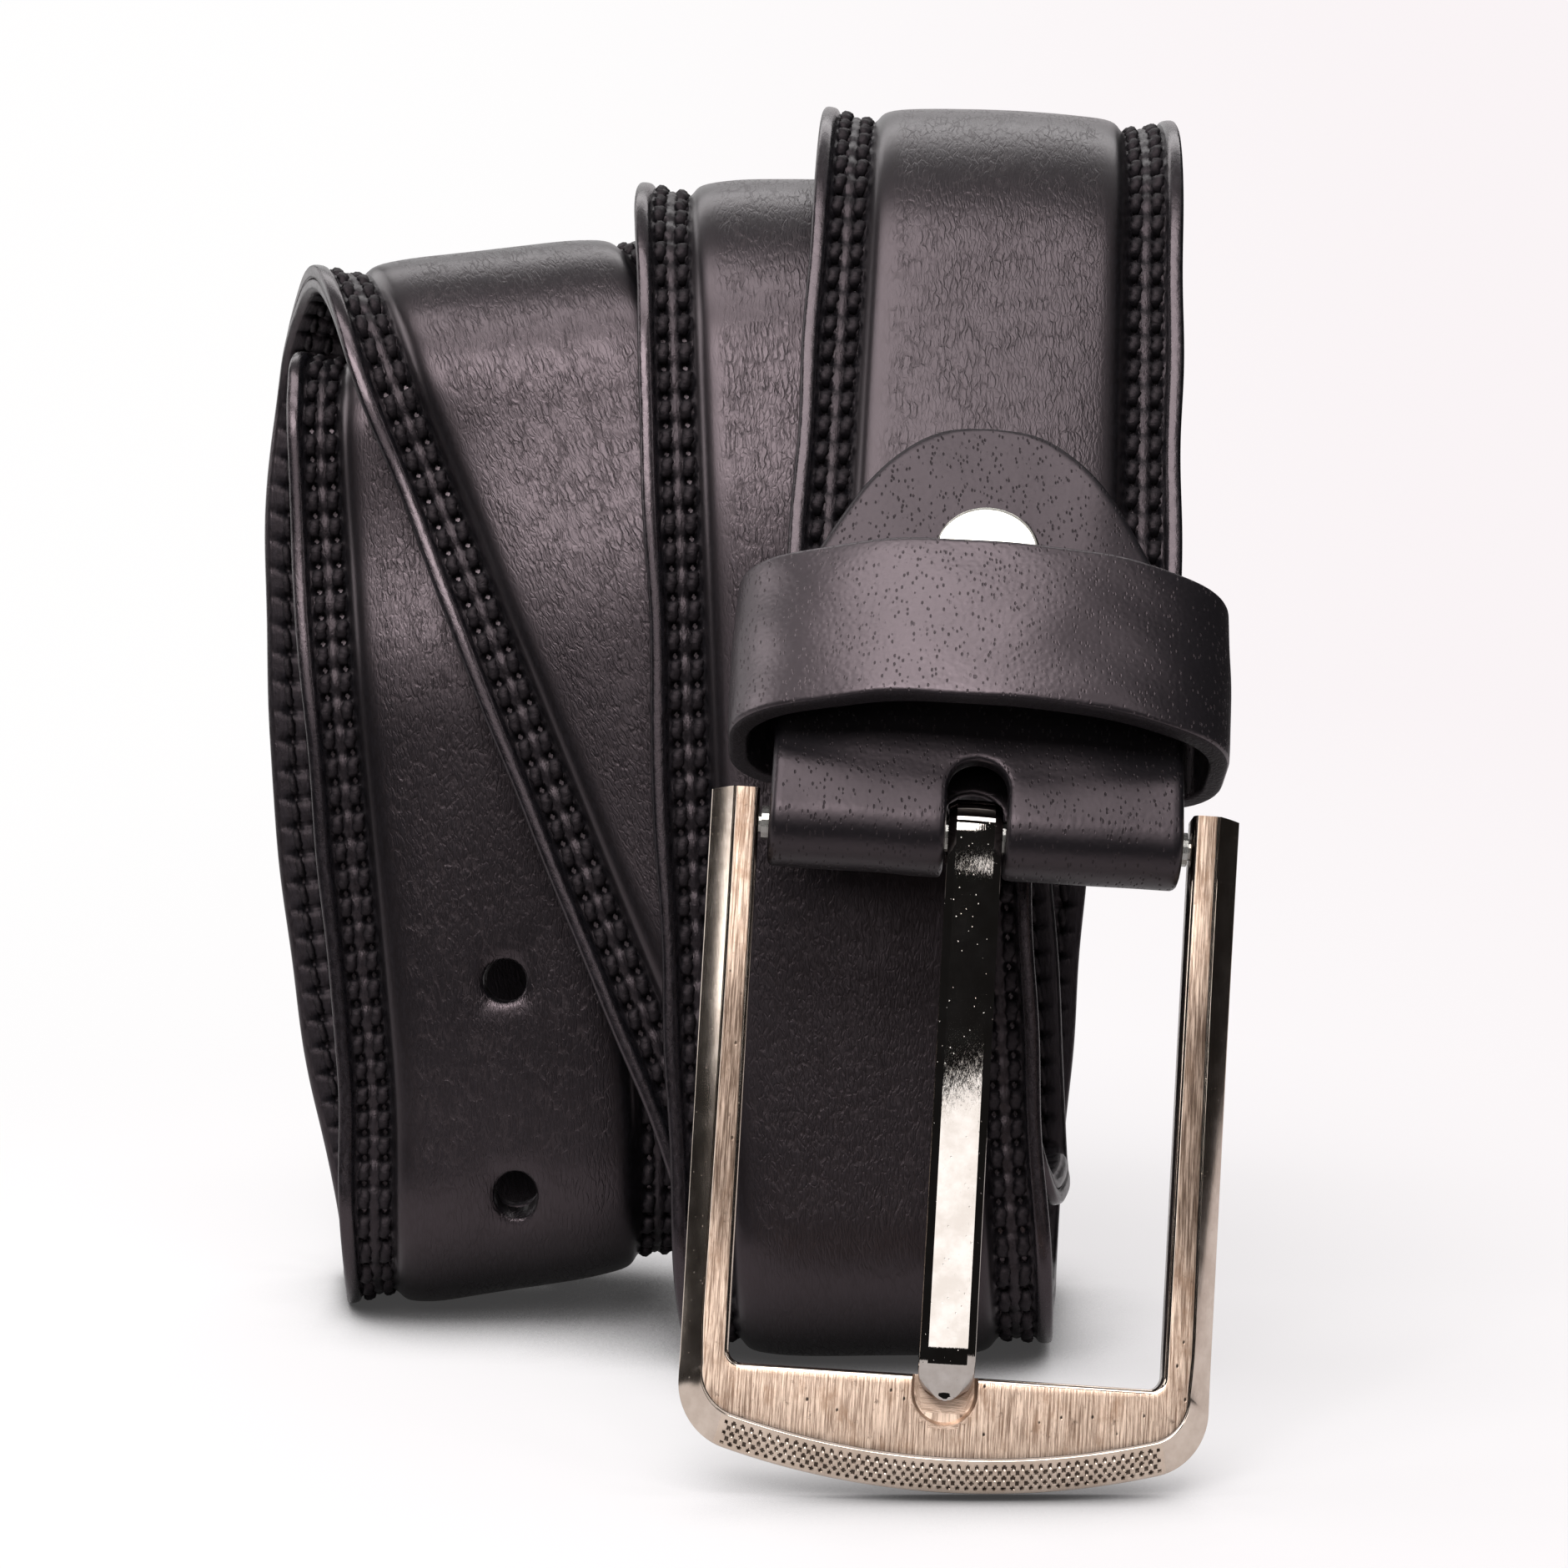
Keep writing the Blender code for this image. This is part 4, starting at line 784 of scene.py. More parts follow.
def strap_layer(side, under_height, direction):
    """Rings of a layer with needle pits and punched holes: flat points, quads and outline columns."""
    ring = across_ring(side, under_height)
    runs = strap_stations()
    count = len(ring)
    into = np.clip((runs - (TIP - TIP_LENGTH)) / TIP_LENGTH, 0.0, 1.0)
    share = np.maximum(TIP_BLUNT / HALF, np.sqrt(np.maximum(0.0, 1.0 - into ** 2.6)))
    v = np.repeat(ring[None, :, 0], len(runs), axis=0)
    h = np.repeat(ring[None, :, 1], len(runs), axis=0)
    s = np.repeat(runs[:, None], count, axis=1)
    shaped = np.arange(count) < 2 * len(side) - 1
    phase = np.abs((s / STITCH_PITCH + 0.5) % 1.0 - 0.5) * STITCH_PITCH
    for row in (ROW_OUTER, ROW_INNER):
        away = np.hypot((np.abs(v) - row) / PIT_REACH, phase / PIT_REACH)
        pit = PIT_DEEP * np.clip(1.3 * (1.0 - away ** 2), 0.0, 1.0)
        bed = BED_DEEP * np.exp(-((np.abs(v) - row) / BED_REACH) ** 2)
        h -= direction * (pit + bed) * shaped
    ridge = np.exp(-((np.abs(v) - RIDGE_AT) / RIDGE_REACH) ** 2)
    ridge = RIDGE_HIGH * np.cos(2 * pi * s / STITCH_PITCH) * ridge
    h -= direction * ridge * shaped
    swell = ripple(v, s, 5, 34.0) * SWELL * smooth(np.abs(v), 12.2, 8.0)
    h += np.where(shaped & (direction > 0), swell, 0.0)
    sway = ripple(0.0, s, 8, 46.0) * SWAY
    v = v + np.sign(v) * sway * smooth(np.abs(v), 15.0, 19.0)
    v = v * share[:, None]
    flat = np.stack((v, s, h), axis=-1).reshape(-1, 3)
    keep = np.ones((len(runs) - 1, count), bool)
    tops = [j for j in range(count) if shaped[j] and abs(ring[j, 0]) <= BLOCK]
    lows = [j for j in range(count) if not shaped[j] and abs(ring[j, 0]) <= BLOCK]
    extra = []
    added = []
    total = len(flat)
    holes = [(TIP - HOLE_TO_TIP - i * HOLE_PITCH, HOLE_WIDTH / 2) for i in range(HOLE_COUNT)]
    holes.append((POST_AT, POST_HOLE / 2))
    for run, radius in holes:
        i0 = int(np.searchsorted(runs, run - HOLE_ZONE))
        i1 = int(np.searchsorted(runs, run + HOLE_ZONE))
        loops = []
        for columns in (tops, lows):
            low_j, high_j = min(columns), max(columns)
            keep[i0:i1, low_j:high_j] = False
            order = sorted(columns, key=lambda j: ring[j, 0])
            loop = [(i0, j) for j in order]
            loop += [(i, order[-1]) for i in range(i0 + 1, i1 + 1)]
            loop += [(i1, j) for j in reversed(order[:-1])]
            loop += [(i, order[0]) for i in range(i1 - 1, i0, -1)]
            loops.append([i * count + j for i, j in loop])
        size = len(loops[0])
        chain = [np.array(loops[0])]
        edge = flat[loops[0]]
        base = flat[loops[1]]
        turn = np.arctan2(edge[:, 1] - run, edge[:, 0])
        circle = np.stack((radius * np.cos(turn), run + radius * np.sin(turn)), axis=1)
        for near, level, dip in HOLE_STEPS:
            plan = edge[:, :2] * (1 - near) + circle * near
            high = (edge[:, 2] + direction * dip) * level + base[:, 2] * (1 - level)
            extra.append(np.column_stack((plan, high)))
            chain.append(np.arange(total, total + size))
            total += size
        chain.append(np.array(loops[1]))
        for near, far in zip(chain[:-1], chain[1:]):
            for a in range(size):
                b = (a + 1) % size
                added.append((int(near[a]), int(near[b]), int(far[b]), int(far[a])))
    quads = tube_faces(len(runs), count)
    kept = np.nonzero(keep.ravel())[0]
    faces = [quads[i] for i in kept] + added + quads[-2:]
    columns = list(kept % count) + [len(side) - 1] * len(added) + [0, 0]
    return np.concatenate([flat] + extra), faces, np.array(columns), ring


def make_strap():
    """The padded face leather and the back leather, each one closed layer."""
    flat, faces, columns, ring = strap_layer(FACE_SIDE + FACE_CHANNEL + FACE_CROWN, 0.02, 1.0)
    place = np.abs(ring[columns, 0])
    kinds = np.where(place > CHANNEL_FROM, 3, 0)
    kinds = np.where(place > LIP_FROM, 1, kinds)
    kinds = np.where(place > EDGE_FROM, 2, kinds)
    looks = [LOOKS[key] for key in ("crown", "lip", "edge", "channel")]
    skin = piece("strap_skin", wound(flat), faces, flat, "strap",
                 ("strap_face", "strap_filler"), looks, kinds)
    flat, faces, columns, ring = strap_layer(LINING_SIDE, -0.02, -1.0)
    place = np.abs(ring[columns, 0])
    kinds = np.where(place > BACK_EDGE_FROM, 1, 0)
    piece("strap_backing", wound(flat), faces, flat, "strap", ("strap_lining",),
          (LOOKS["lining"], LOOKS["edge"]), kinds)


def make_stitches():
    """Single stitches that dip into the needle holes, one piece a row."""
    pick = np.random.default_rng(11)
    last = int((TIP - THREAD_TO_TIP) / STITCH_PITCH)
    for name, node, sides, length, start, base, sign, deep, wide in THREADS:
        around = np.arange(sides) * 2 * pi / sides
        u = np.linspace(0.0, 1.0, length)
        rise = np.sin(pi * u) ** 0.36
        thick = STITCH_RADIUS * (0.7 + 0.3 * rise)
        one = tube_faces(length, sides)
        first = int(start / STITCH_PITCH) + 1
        for number, row in enumerate(STITCH_ROWS, start=1):
            points = []
            faces = []
            for k in range(first, last):
                lean = pick.uniform(-0.06, 0.06)
                tight = pick.uniform(0.9, 1.08)
                run = k * STITCH_PITCH + STITCH_INSET + (STITCH_PITCH - 2 * STITCH_INSET) * u
                sink = STITCH_SINK - STITCH_RISE * rise * tight
                middle = base - sign * sink * deep
                slant = row + (u - 0.5) * STITCH_SLANT + lean
                ply = 1.0 + PLY_DEEP * np.cos(2 * around[None, :] - 2 * pi * run[:, None] / PLY_PITCH)
                radius = thick[:, None] * ply + pick.uniform(-0.05, 0.05, (length, sides))
                v = slant[:, None] + wide * radius * np.cos(around)[None, :]
                h = middle[:, None] + sign * radius * np.sin(around)[None, :]
                s = np.repeat(run[:, None], sides, axis=1)
                at = len(points) * length * sides
                points.append(np.stack((v, s, h), axis=-1).reshape(-1, 3))
                faces += [tuple(at + c for c in face) for face in one]
            flat = np.concatenate(points)
            piece(name % number, wound(flat), faces, flat, "strap", (node % number,),
                  (LOOKS["thread"],))


def outline_width(run):
    """Half width of the chape at a run from the bar, through its outline, and the outline's slope."""
    spots = [(CHAPE_LONG - back, HALF - inset) for back, inset in CHAPE_OUTLINE]
    spots = [(-10.0, HALF), (0.0, HALF)] + spots
    fine = []
    for i in range(1, len(spots) - 1):
        a, b, c, d = (np.array(spots[min(max(k, 0), len(spots) - 1)]) for k in (i - 1, i, i + 1, i + 2))
        for t in np.linspace(0.0, 1.0, 12, endpoint=False):
            fine.append(0.5 * (2 * b + (c - a) * t + (2 * a - 5 * b + 4 * c - d) * t * t
                               + (3 * b - a - 3 * c + d) * t ** 3))
    fine.append(np.array(spots[-1]))
    fine = np.array(fine)
    fine[:, 1] = np.minimum(fine[:, 1], HALF)
    order = np.maximum.accumulate(fine[:, 0])
    width = np.interp(run, order, fine[:, 1])
    slope = (np.interp(run + 0.05, order, fine[:, 1]) - np.interp(run - 0.05, order, fine[:, 1])) / 0.1
    return width, slope


def make_chape():
    """The chape: a sheet folded round the bar, with a slot for the prong and rounded edges."""
    tip = CHAPE_LONG - np.array((0.0, 0.03, 0.1, 0.2, 0.35, 0.6, 0.9, 1.3, 1.8, 2.4))
    body = np.arange(CHAPE_LONG - 3.2, SLOT_TOP + 1.0, -0.7)
    near = SLOT_TOP + np.array((0.7, 0.45, 0.25, 0.1, 0.0, -0.06, -0.2, -0.45, -0.8, -1.3, -2.0, -2.8))
    low = np.array((1.6, 0.8, 0.0))
    front = np.concatenate((tip, body, near, low))
    bend = np.linspace(0.0, pi, 25)[1:-1]
    shares = np.array((0.0, 0.008, 0.02, 0.04, 0.07, 0.12, 0.2, 0.3, 0.4, 0.5, 0.6, 0.7, 0.8, 0.88, 0.93,
                       0.96, 0.98, 0.992, 1.0))
    rows = [(run, CHAPE_FRONT, 0.0, run) for run in front]
    rows += [(-FOLD_RADIUS * sin(t), FOLD_MIDDLE + FOLD_RADIUS * cos(t), t, -FOLD_RADIUS * t)
             for t in bend]
    rows += [(run, CHAPE_BACK, pi, -FOLD_RADIUS * pi - run) for run in front[::-1]]
    half = CHAPE_THICK / 2
    count = len(shares)
    points = []
    flat = []
    faces = []
    kinds = []
    slots = []
    for side in (-1.0, 1.0):
        for run, high, turn, grain in rows:
            away = run if turn in (0.0, pi) else 0.0
            width, slope = outline_width(away)
            gap = 0.0
            rise = away - (SLOT_TOP - SLOT_HALF)
            if rise <= 0.0:
                gap = SLOT_HALF
            elif rise < SLOT_HALF:
                gap = sqrt(SLOT_HALF ** 2 - rise ** 2)
            slots.append(gap > 0.0)
            v = gap + (width - gap) * shares
            to_side = (width - v) / sqrt(1.0 + slope ** 2)
            to_slot = np.hypot(v, max(0.0, rise)) - SLOT_HALF
            ease = np.maximum(0.0, SIDE_ROUND - to_side)
            ease = SIDE_ROUND - np.sqrt(np.maximum(0.0, SIDE_ROUND ** 2 - ease ** 2))
            hole = np.clip(SLOT_ROUND - to_slot, 0.0, SLOT_ROUND)
            hole = SLOT_ROUND - np.sqrt(np.maximum(0.0, SLOT_ROUND ** 2 - hole ** 2))
            thin = half - np.maximum(ease, hole)
            sag = 0.0
            if turn == 0.0:
                sag = CHAPE_SAG * smooth(v, 9.5, 19.0) * smooth(away, 3.0, 10.0)
            wave = ripple(side * v, grain, 21, 15.0) * CHAPE_WAVE
            for face in (1.0, -1.0):
                out = face * thin + (wave if face > 0 else 0.0)
                points.append(np.stack((side * v, run - sin(turn) * out,
                                        high + cos(turn) * out - sag), axis=1))
                flat.append(np.stack((side * v, grain + 0.0 * v, 0.0 * v), axis=1))
    rings = (np.arange(4 * len(rows)).reshape(-1, 2) * count).tolist()
    for start in (0, len(rows)):
        end = start + len(rows) - 1
        for i in range(start, end):
            here = rings[i]
            there = rings[i + 1]
            for near, far in zip(here, there):
                faces += [(near + j, near + j + 1, far + j + 1, far + j) for j in range(count - 1)]
            kinds += [0] * (2 * count - 2)
            rims = (count - 1, 0) if slots[i] or slots[i + 1] else (count - 1,)
            for j in rims:
                faces.append((here[0] + j, here[1] + j, there[1] + j, there[0] + j))
                kinds.append(1)
        for near, far in (rings[start], rings[end]):
            faces += [(near + j, near + j + 1, far + j + 1, far + j) for j in range(count - 1)]
            kinds += [1] * (count - 1)
    piece("chape_leather", on_foot(np.concatenate(points)), faces, np.concatenate(flat), "strap",
          ("chape",), (LOOKS["chape"], LOOKS["cut"]), kinds, 50.0)


def make_keeper():
    """The keeper: a band of leather bent round, its ends meeting at the back."""
    spots = [(KEEPER_SEAM / 2, KEEPER_LOW, 0.0, -1.0)]
    for x in np.linspace(2.0, KEEPER_HALF - KEEPER_CORNER, 12):
        spots.append((x, KEEPER_LOW, 0.0, -1.0))
    for t in np.linspace(-pi / 2, 0.0, 10)[1:]:
        spots.append((KEEPER_HALF - KEEPER_CORNER + KEEPER_CORNER * cos(t),
                      KEEPER_LOW + KEEPER_CORNER + KEEPER_CORNER * sin(t), cos(t), sin(t)))
    for h in np.linspace(KEEPER_LOW + KEEPER_CORNER, KEEPER_BASE, 5)[1:-1]:
        spots.append((KEEPER_HALF, h, 1.0, 0.0))
    for t in np.linspace(0.0, pi / 2, 46):
        way = Vector((cos(t) / KEEPER_HALF, sin(t) / KEEPER_RISE)).normalized()
        spots.append((KEEPER_HALF * cos(t), KEEPER_BASE + KEEPER_RISE * sin(t), way.x, way.y))
    spots += [(-v, h, -x, y) for v, h, x, y in reversed(spots[:-1])]
    spots = np.array(spots)
    along = run_along(spots[:, :2])
    ring = []
    corners = ((KEEPER_WALL, 0.0, -pi / 2, 0.6), (KEEPER_WALL, KEEPER_HIGH, 0.0, 0.6),
               (0.0, KEEPER_HIGH, pi / 2, 0.3), (0.0, 0.0, pi, 0.3))
    for corner_w, corner_r, start, r in corners:
        w0 = corner_w - r if corner_w > 0 else r
        r0 = corner_r - r if corner_r > 0 else r
        for t in np.linspace(start, start + pi / 2, 7):
            ring.append((w0 + r * cos(t), r0 + r * sin(t)))
        if corner_w > 0 and corner_r == 0.0:
            ring += [(KEEPER_WALL, run) for run in np.linspace(1.6, KEEPER_HIGH - 1.6, 13)]
        if corner_w == 0.0 and corner_r > 0:
            ring += [(0.0, run) for run in np.linspace(KEEPER_HIGH - 2.0, 2.0, 6)]
    ring = np.array(ring)
    count = len(ring)
    points = []
    flat = []
    for (v, h, x, y), run in zip(spots, along):
        full = (ring[:, 0] > 1.0).astype(float)
        belly = KEEPER_BELLY * full * np.clip(np.sin(pi * ring[:, 1] / KEEPER_HIGH), 0.0, 1.0) ** 0.6
        uneven = KEEPER_UNEVEN * full * ripple(run, ring[:, 1], 31, 17.0)
        w = ring[:, 0] + belly + uneven
        shift = KEEPER_SWAY * ripple(run, 0.0, 33, 24.0)
        points.append(np.stack((v + x * w, KEEPER_AT + ring[:, 1] + shift, h + y * w), axis=1))
        flat.append(np.stack((run + 0.0 * w, ring[:, 1], w), axis=1))
    faces = tube_faces(len(spots), count)
    rim = np.zeros(count, int)
    for j in range(count):
        middle = (ring[j, 1] + ring[(j + 1) % count, 1]) / 2
        inner = (ring[j, 0] + ring[(j + 1) % count, 0]) / 2
        rim[j] = 1 if (middle < 0.25 or middle > KEEPER_HIGH - 0.25) and inner < 1.75 else 0
    kinds = list(np.tile(rim, len(spots) - 1)) + [1, 1]
    piece("keeper_band", on_foot(np.concatenate(points)), faces, np.concatenate(flat), "keeper",
          ("keeper_loop",), (LOOKS["keeper"], LOOKS["cut"]), kinds, 60.0)


def make_post():
    """The post's flat head and barrel, turned."""
    head = POST_SEAT + POST_CAP
    rim = POST_HEAD / 2
    profile = [(0.0, head + 0.06), (2.0, head + 0.05), (3.6, head + 0.02), (rim - 0.55, head - 0.02)]
    for t in np.linspace(pi / 2, 0.0, 6)[1:]:
        profile.append((rim - 0.4 + 0.4 * cos(t), head - 0.42 + 0.4 * sin(t)))
    profile += [(rim, POST_SEAT + 0.12), (rim - 0.12, POST_SEAT), (POST_BARREL, POST_SEAT)]
    profile += [(POST_BARREL, POST_FOOT), (POST_BORE, POST_FOOT)]
    profile += [(POST_BORE, POST_FLOOR), (0.0, POST_FLOOR)]
    sides = 72
    points = []
    for r, z in profile:
        for i in range(sides):
            t = 2 * pi * i / sides
            points.append((r * cos(t), POST_AT + r * sin(t), z))
    points = np.array(points)
    piece("post_head", on_foot(points), tube_faces(len(profile), sides, caps=False), points, "strap",
          ("post",), (LOOKS["post"],), None, 40.0)


def frame_pairs():
    """Stations along the open frame: outer and inner edge points, from the right end round."""
    half = BUCKLE_WINDOW / 2 + BUCKLE_RAIL
    sweep = (half ** 2 + BUCKLE_BOW ** 2) / (2 * BUCKLE_BOW)
    bow = -BUCKLE_LONG + sweep
    inner = sweep - BUCKLE_CORNER
    turn_x = half - BUCKLE_CORNER
    turn_y = bow - sqrt(inner ** 2 - turn_x ** 2)
    last = atan2(turn_y - bow, turn_x)
    edge = BUCKLE_WINDOW / 2
    corner_y = -WINDOW_LONG + WINDOW_CORNER
    pairs = []
    for t in np.linspace(0.0, 1.0, 30, endpoint=False):
        pairs.append((half, BUCKLE_END + (turn_y - BUCKLE_END) * t,
                      edge, BUCKLE_END + (corner_y - BUCKLE_END) * t))
    for t in np.linspace(0.0, 1.0, 40, endpoint=False):
        turn = last * t
        round_in = -pi / 2 * t
        pairs.append((turn_x + BUCKLE_CORNER * cos(turn), turn_y + BUCKLE_CORNER * sin(turn),
                      edge - WINDOW_CORNER + WINDOW_CORNER * cos(round_in),
                      corner_y + WINDOW_CORNER * sin(round_in)))
    first_x = sweep * cos(last)
    for x in np.linspace(first_x, 0.0, 170):
        pairs.append((x, bow - sqrt(sweep ** 2 - x ** 2),
                      x / first_x * (edge - WINDOW_CORNER), -WINDOW_LONG))
    pairs += [(-a, b, -c, d) for a, b, c, d in reversed(pairs[:-1])]
    pairs = np.array(pairs)
    for column in (0, 2):
        inward = BUCKLE_TAPER * (BUCKLE_END - pairs[:, column + 1]) / (BUCKLE_END + BUCKLE_LONG)
        pairs[:, column] *= 1.0 - inward / half
    return pairs


def carve_notch(plate):
    """Sink the prong's seat into the lower bar, with a rounded end and leaning walls."""
    wide = PRONG_WIDTH / 2 + 0.3
    top = -WINDOW_LONG + NOTCH_LONG
    points = []
    for level, grow in ((BUCKLE_THICK / 2 - NOTCH_DEEP, -0.12), (BUCKLE_THICK / 2 + 1.0, 0.42)):
        half = wide + grow
        middle = -WINDOW_LONG - NOTCH_LONG + wide
        points += [(half, top, level), (-half, top, level)]
        points += [(half * cos(pi + pi * i / 32), middle + half * sin(pi + pi * i / 32), level)
                   for i in range(33)]
    count = len(points) // 2
    faces = [tuple(range(count)), tuple(range(count, 2 * count))]
    faces += [(i, (i + 1) % count, count + (i + 1) % count, count + i) for i in range(count)]
    mesh = closed_mesh("notch_tool", on_swing(points), faces, points, (LOOKS["brushed"],))
    tool = placed("notch_tool", mesh)
    change = plate.modifiers.new("notch", "BOOLEAN")
    change.operation = "DIFFERENCE"
    change.solver = "EXACT"
    change.object = tool
    bpy.context.view_layer.update()
    graph = bpy.context.evaluated_depsgraph_get()
    made = bpy.data.meshes.new_from_object(plate.evaluated_get(graph), depsgraph=graph)
    plate.modifiers.clear()
    plate.data = made
    made.shade_smooth()
    made.set_sharp_from_angle(angle=radians(32.0))
    bpy.data.objects.remove(tool, do_unlink=True)


def make_buckle():
    """The open frame: brushed facet, groove, polished bevel with a dimpled strip, and the notch."""
    pairs = frame_pairs()
    half = BUCKLE_THICK / 2
    points = []
    pits = []
    slopes = np.linspace(0.0, 1.0, 22)
    for ox, oy, ix, iy in pairs:
        across = np.array((ix - ox, iy - oy))
        wide = hypot(*across)
        across = across / wide
        low_part = smooth(-oy, 46.0, 58.0)
        bevel = BEVEL_WIDE + BEVEL_GROW * low_part
        foot = 0.05 + 0.55 * low_part
        spots = [(0.7, -half), (0.25, -half + 0.08), (0.04, -half + 0.35), (0.0, -half + 0.8)]
        spots.append((0.0, foot - 0.35))
        deep = []
        for t in slopes:
            d = 0.03 + (bevel - 0.03) * t
            z = foot - 0.12 + (half - foot + 0.12) * t + 0.12 * sin(pi * t)
            sunk = 0.0
            if abs(ox) < DIMPLES_HALF and oy < STRIP_LOW and 0.10 < t < 0.93:
                row = (d - DIMPLE_FIRST) / DIMPLE_STEP
                near = round(row)
                if 0 <= near < DIMPLE_ROWS:
                    shift = ox / DIMPLE_PITCH + 0.5 * (near % 2)
                    off = hypot((row - near) * DIMPLE_STEP, (shift - round(shift)) * DIMPLE_PITCH)
                    sunk = max(0.0, 1.0 - (off / DIMPLE_REACH) ** 2)
            z -= DIMPLE_DEEP * sunk
            deep.append(sunk)
            spots.append((d, z))
        pits.append(deep)
        spots += [(bevel + 0.05, half - 0.05), (bevel + 0.12, half - 0.07), (bevel + 0.2, half - 0.02),
                  (bevel + 0.32, half)]
        face_end = wide - 0.42
        for t in np.linspace(0.0, 1.0, 12)[1:]:
            spots.append((bevel + 0.32 + (face_end - bevel - 0.32) * t, half + 0.03 * sin(pi * t)))
        spots += [(wide - 0.25, half - 0.06), (wide - 0.08, half - 0.22), (wide, half - 0.45),
                  (wide, -half + 0.4), (wide - 0.1, -half + 0.1), (wide - 0.4, -half)]
        for d, z in spots:
            x, y = ox + across[0] * d, oy + across[1] * d
            z += RAIL_RISE * max(0.0, y + RAIL_BEND) ** 2 * (z + half) / BUCKLE_THICK
            points.append((x, y, z))
    count = len(spots)
    points = np.array(points)
    faces = tube_faces(len(pairs), count)
    # Columns: wall 0 to 4, bevel 5 to 26, groove 27 to 30, brushed face 31 to 41, inner edge 42 to 47
    kinds = np.zeros(count, int)
    kinds[:30] = 1
    kinds[-7:] = 1
    all_kinds = np.tile(kinds, (len(pairs) - 1, 1))
    low_end = (np.abs(pairs[:-1, 0]) < STRIP_HALF) & (pairs[:-1, 1] < STRIP_LOW)
    all_kinds[np.nonzero(low_end)[0][:, None], np.arange(6, 26)] = 2
    pits = np.array(pits)
    pits = (pits[:-1, :-1] + pits[:-1, 1:] + pits[1:, :-1] + pits[1:, 1:]) / 4
    dotted = np.zeros(all_kinds.shape, bool)
    dotted[:, 5:5 + pits.shape[1]] = pits > 0.3
    all_kinds[dotted] = 3
    all_kinds = list(all_kinds.ravel()) + [1, 1]
    looks = [LOOKS[key] for key in ("brushed", "bevel", "strip", "dot")]
    plate = piece("buckle_face", on_swing(points), faces, points, "buckle",
                  ("buckle_frame",), looks, all_kinds, 32.0)
    carve_notch(plate)


def make_prong():
    """The prong: a faceted bar rolled round the buckle's bar, rounded at its tip."""
    path = []
    for t in np.linspace(radians(205.0), radians(450.0), 40):
        path.append(((PRONG_EYE + PRONG_BORE) / 2 * cos(t), (PRONG_EYE + PRONG_BORE) / 2 * sin(t),
                     t, PRONG_EYE - PRONG_BORE))
    middle = (PRONG_LOW + PRONG_TOP) / 2
    for y in np.concatenate((np.linspace(-0.6, -6.0, 8), np.linspace(-7.0, PRONG_END + 3.2, 46))):
        share = smooth(-y, 0.0, 6.0)
        path.append((y, 2.6 + (middle - 2.6) * share, pi / 2, 1.4 + 0.6 * share))
    ends = PRONG_END + np.array((2.9, 2.5, 2.1, 1.7, 1.3, 0.95, 0.65, 0.4, 0.2, 0.08, 0.0))
    for y in ends:
        path.append((float(y), middle, pi / 2, 2.0))
    points = []
    flat = []
    for y, z, turn, thick in path:
        w = PRONG_WIDTH / 2
        drop = 0.0
        tip_y = PRONG_END + w
        if turn == pi / 2:
            if y < tip_y:
                w = max(0.25, w * sqrt(max(0.0, 1.0 - ((tip_y - y) / w) ** 2)))
            lift = PRONG_LIFT * min(1.0, max(0.0, (-y - 5.0) / 42.0))
            drop = 0.25 * smooth(-y, 46.0, 51.5) + 0.85 * smooth(-y, 51.0, 52.95) ** 1.5
            drop -= lift * (1.0 - smooth(-y, 47.5, 51.4))
        top = thick / 2 - drop
        low = -thick / 2 + 0.5 * smooth(-y, 52.0, 52.9)
        top = max(top, low + 0.3)
        facet = min(PRONG_FACET, w * 0.3)
        spots = [(-w + 0.2, low), (-w + 0.05, low + 0.06), (-w, low + 0.2), (-w, top - 0.52),
                 (-w + 0.05, top - 0.45), (-w + facet - 0.06, top - 0.05), (-w + facet, top - 0.01)]
        spots += [(x * (w - facet), top + 0.05 * (1 - x * x)) for x in (-0.6, -0.2, 0.2, 0.6)]
        spots += [(-x, h) for x, h in reversed(spots[:7])]
        for x, h in spots:
            points.append((x, y + cos(turn) * h, z + sin(turn) * h))
            flat.append((x, y + cos(turn) * h, 0.0))
    count = len(spots)
    piece("prong_bar", on_swing(points), tube_faces(len(path), count), flat, "prong",
          ("prong",), (LOOKS["prong"],), None, 22.0)


def dress_frame():
    """Materials for the solids that stay in view."""
    for name in ("buckle_bar", "screw", "keeper_staple_1", "keeper_staple_2"):
        mesh = NODES[name].data
        mesh.materials.clear()
        mesh.materials.append(LOOKS["steel"])


def panel(name, centre, size, look_at, power):
    """A soft rectangular lamp that faces a point."""
    light = bpy.data.lights.new(name, "AREA")
    light.shape = "RECTANGLE"
    light.size = size[0]
    light.size_y = size[1]
    light.energy = power
    item = placed(name, light)
    item.location = centre
    item.rotation_euler = (look_at - centre).to_track_quat("-Z", "Y").to_euler()


def sheet(name, corners):
    """A flat sheet of the stage: its material without a surface yet, and its painted light from white at
    the left to darker, pinker white at the right.
    """
    mesh = bpy.data.meshes.new(name)
    mesh.from_pydata(corners, [], [(0, 1, 2, 3)])
    item = placed(name, mesh)
    look = Look(name)
    look.tree.nodes.remove(look.shader)
    mesh.materials.append(look.material)
    # Painted light: the sheet's white is brightest at the left and darker and pinker towards the right.
    side = look.between(look.parts(look.place())["X"], *PAINTED_LIGHT_SPAN)
    painted_light_tint = look.mix(side, shade(*WHITE_LEFT), shade(*WHITE_RIGHT))
    return look, painted_light_tint


def card(name, ends, strength):
    """An upright sheet between two ends that glows."""
    (x0, y0), (x1, y1) = ends
    corners = [(x0, y0, 0.0), (x1, y1, 0.0), (x1, y1, BACKDROP_HIGH), (x0, y0, BACKDROP_HIGH)]
    look, painted_light_tint = sheet(name, corners)
    glow = look.node("ShaderNodeEmission", Color=painted_light_tint, Strength=strength)
    look.put(look.surface, glow.outputs[0])


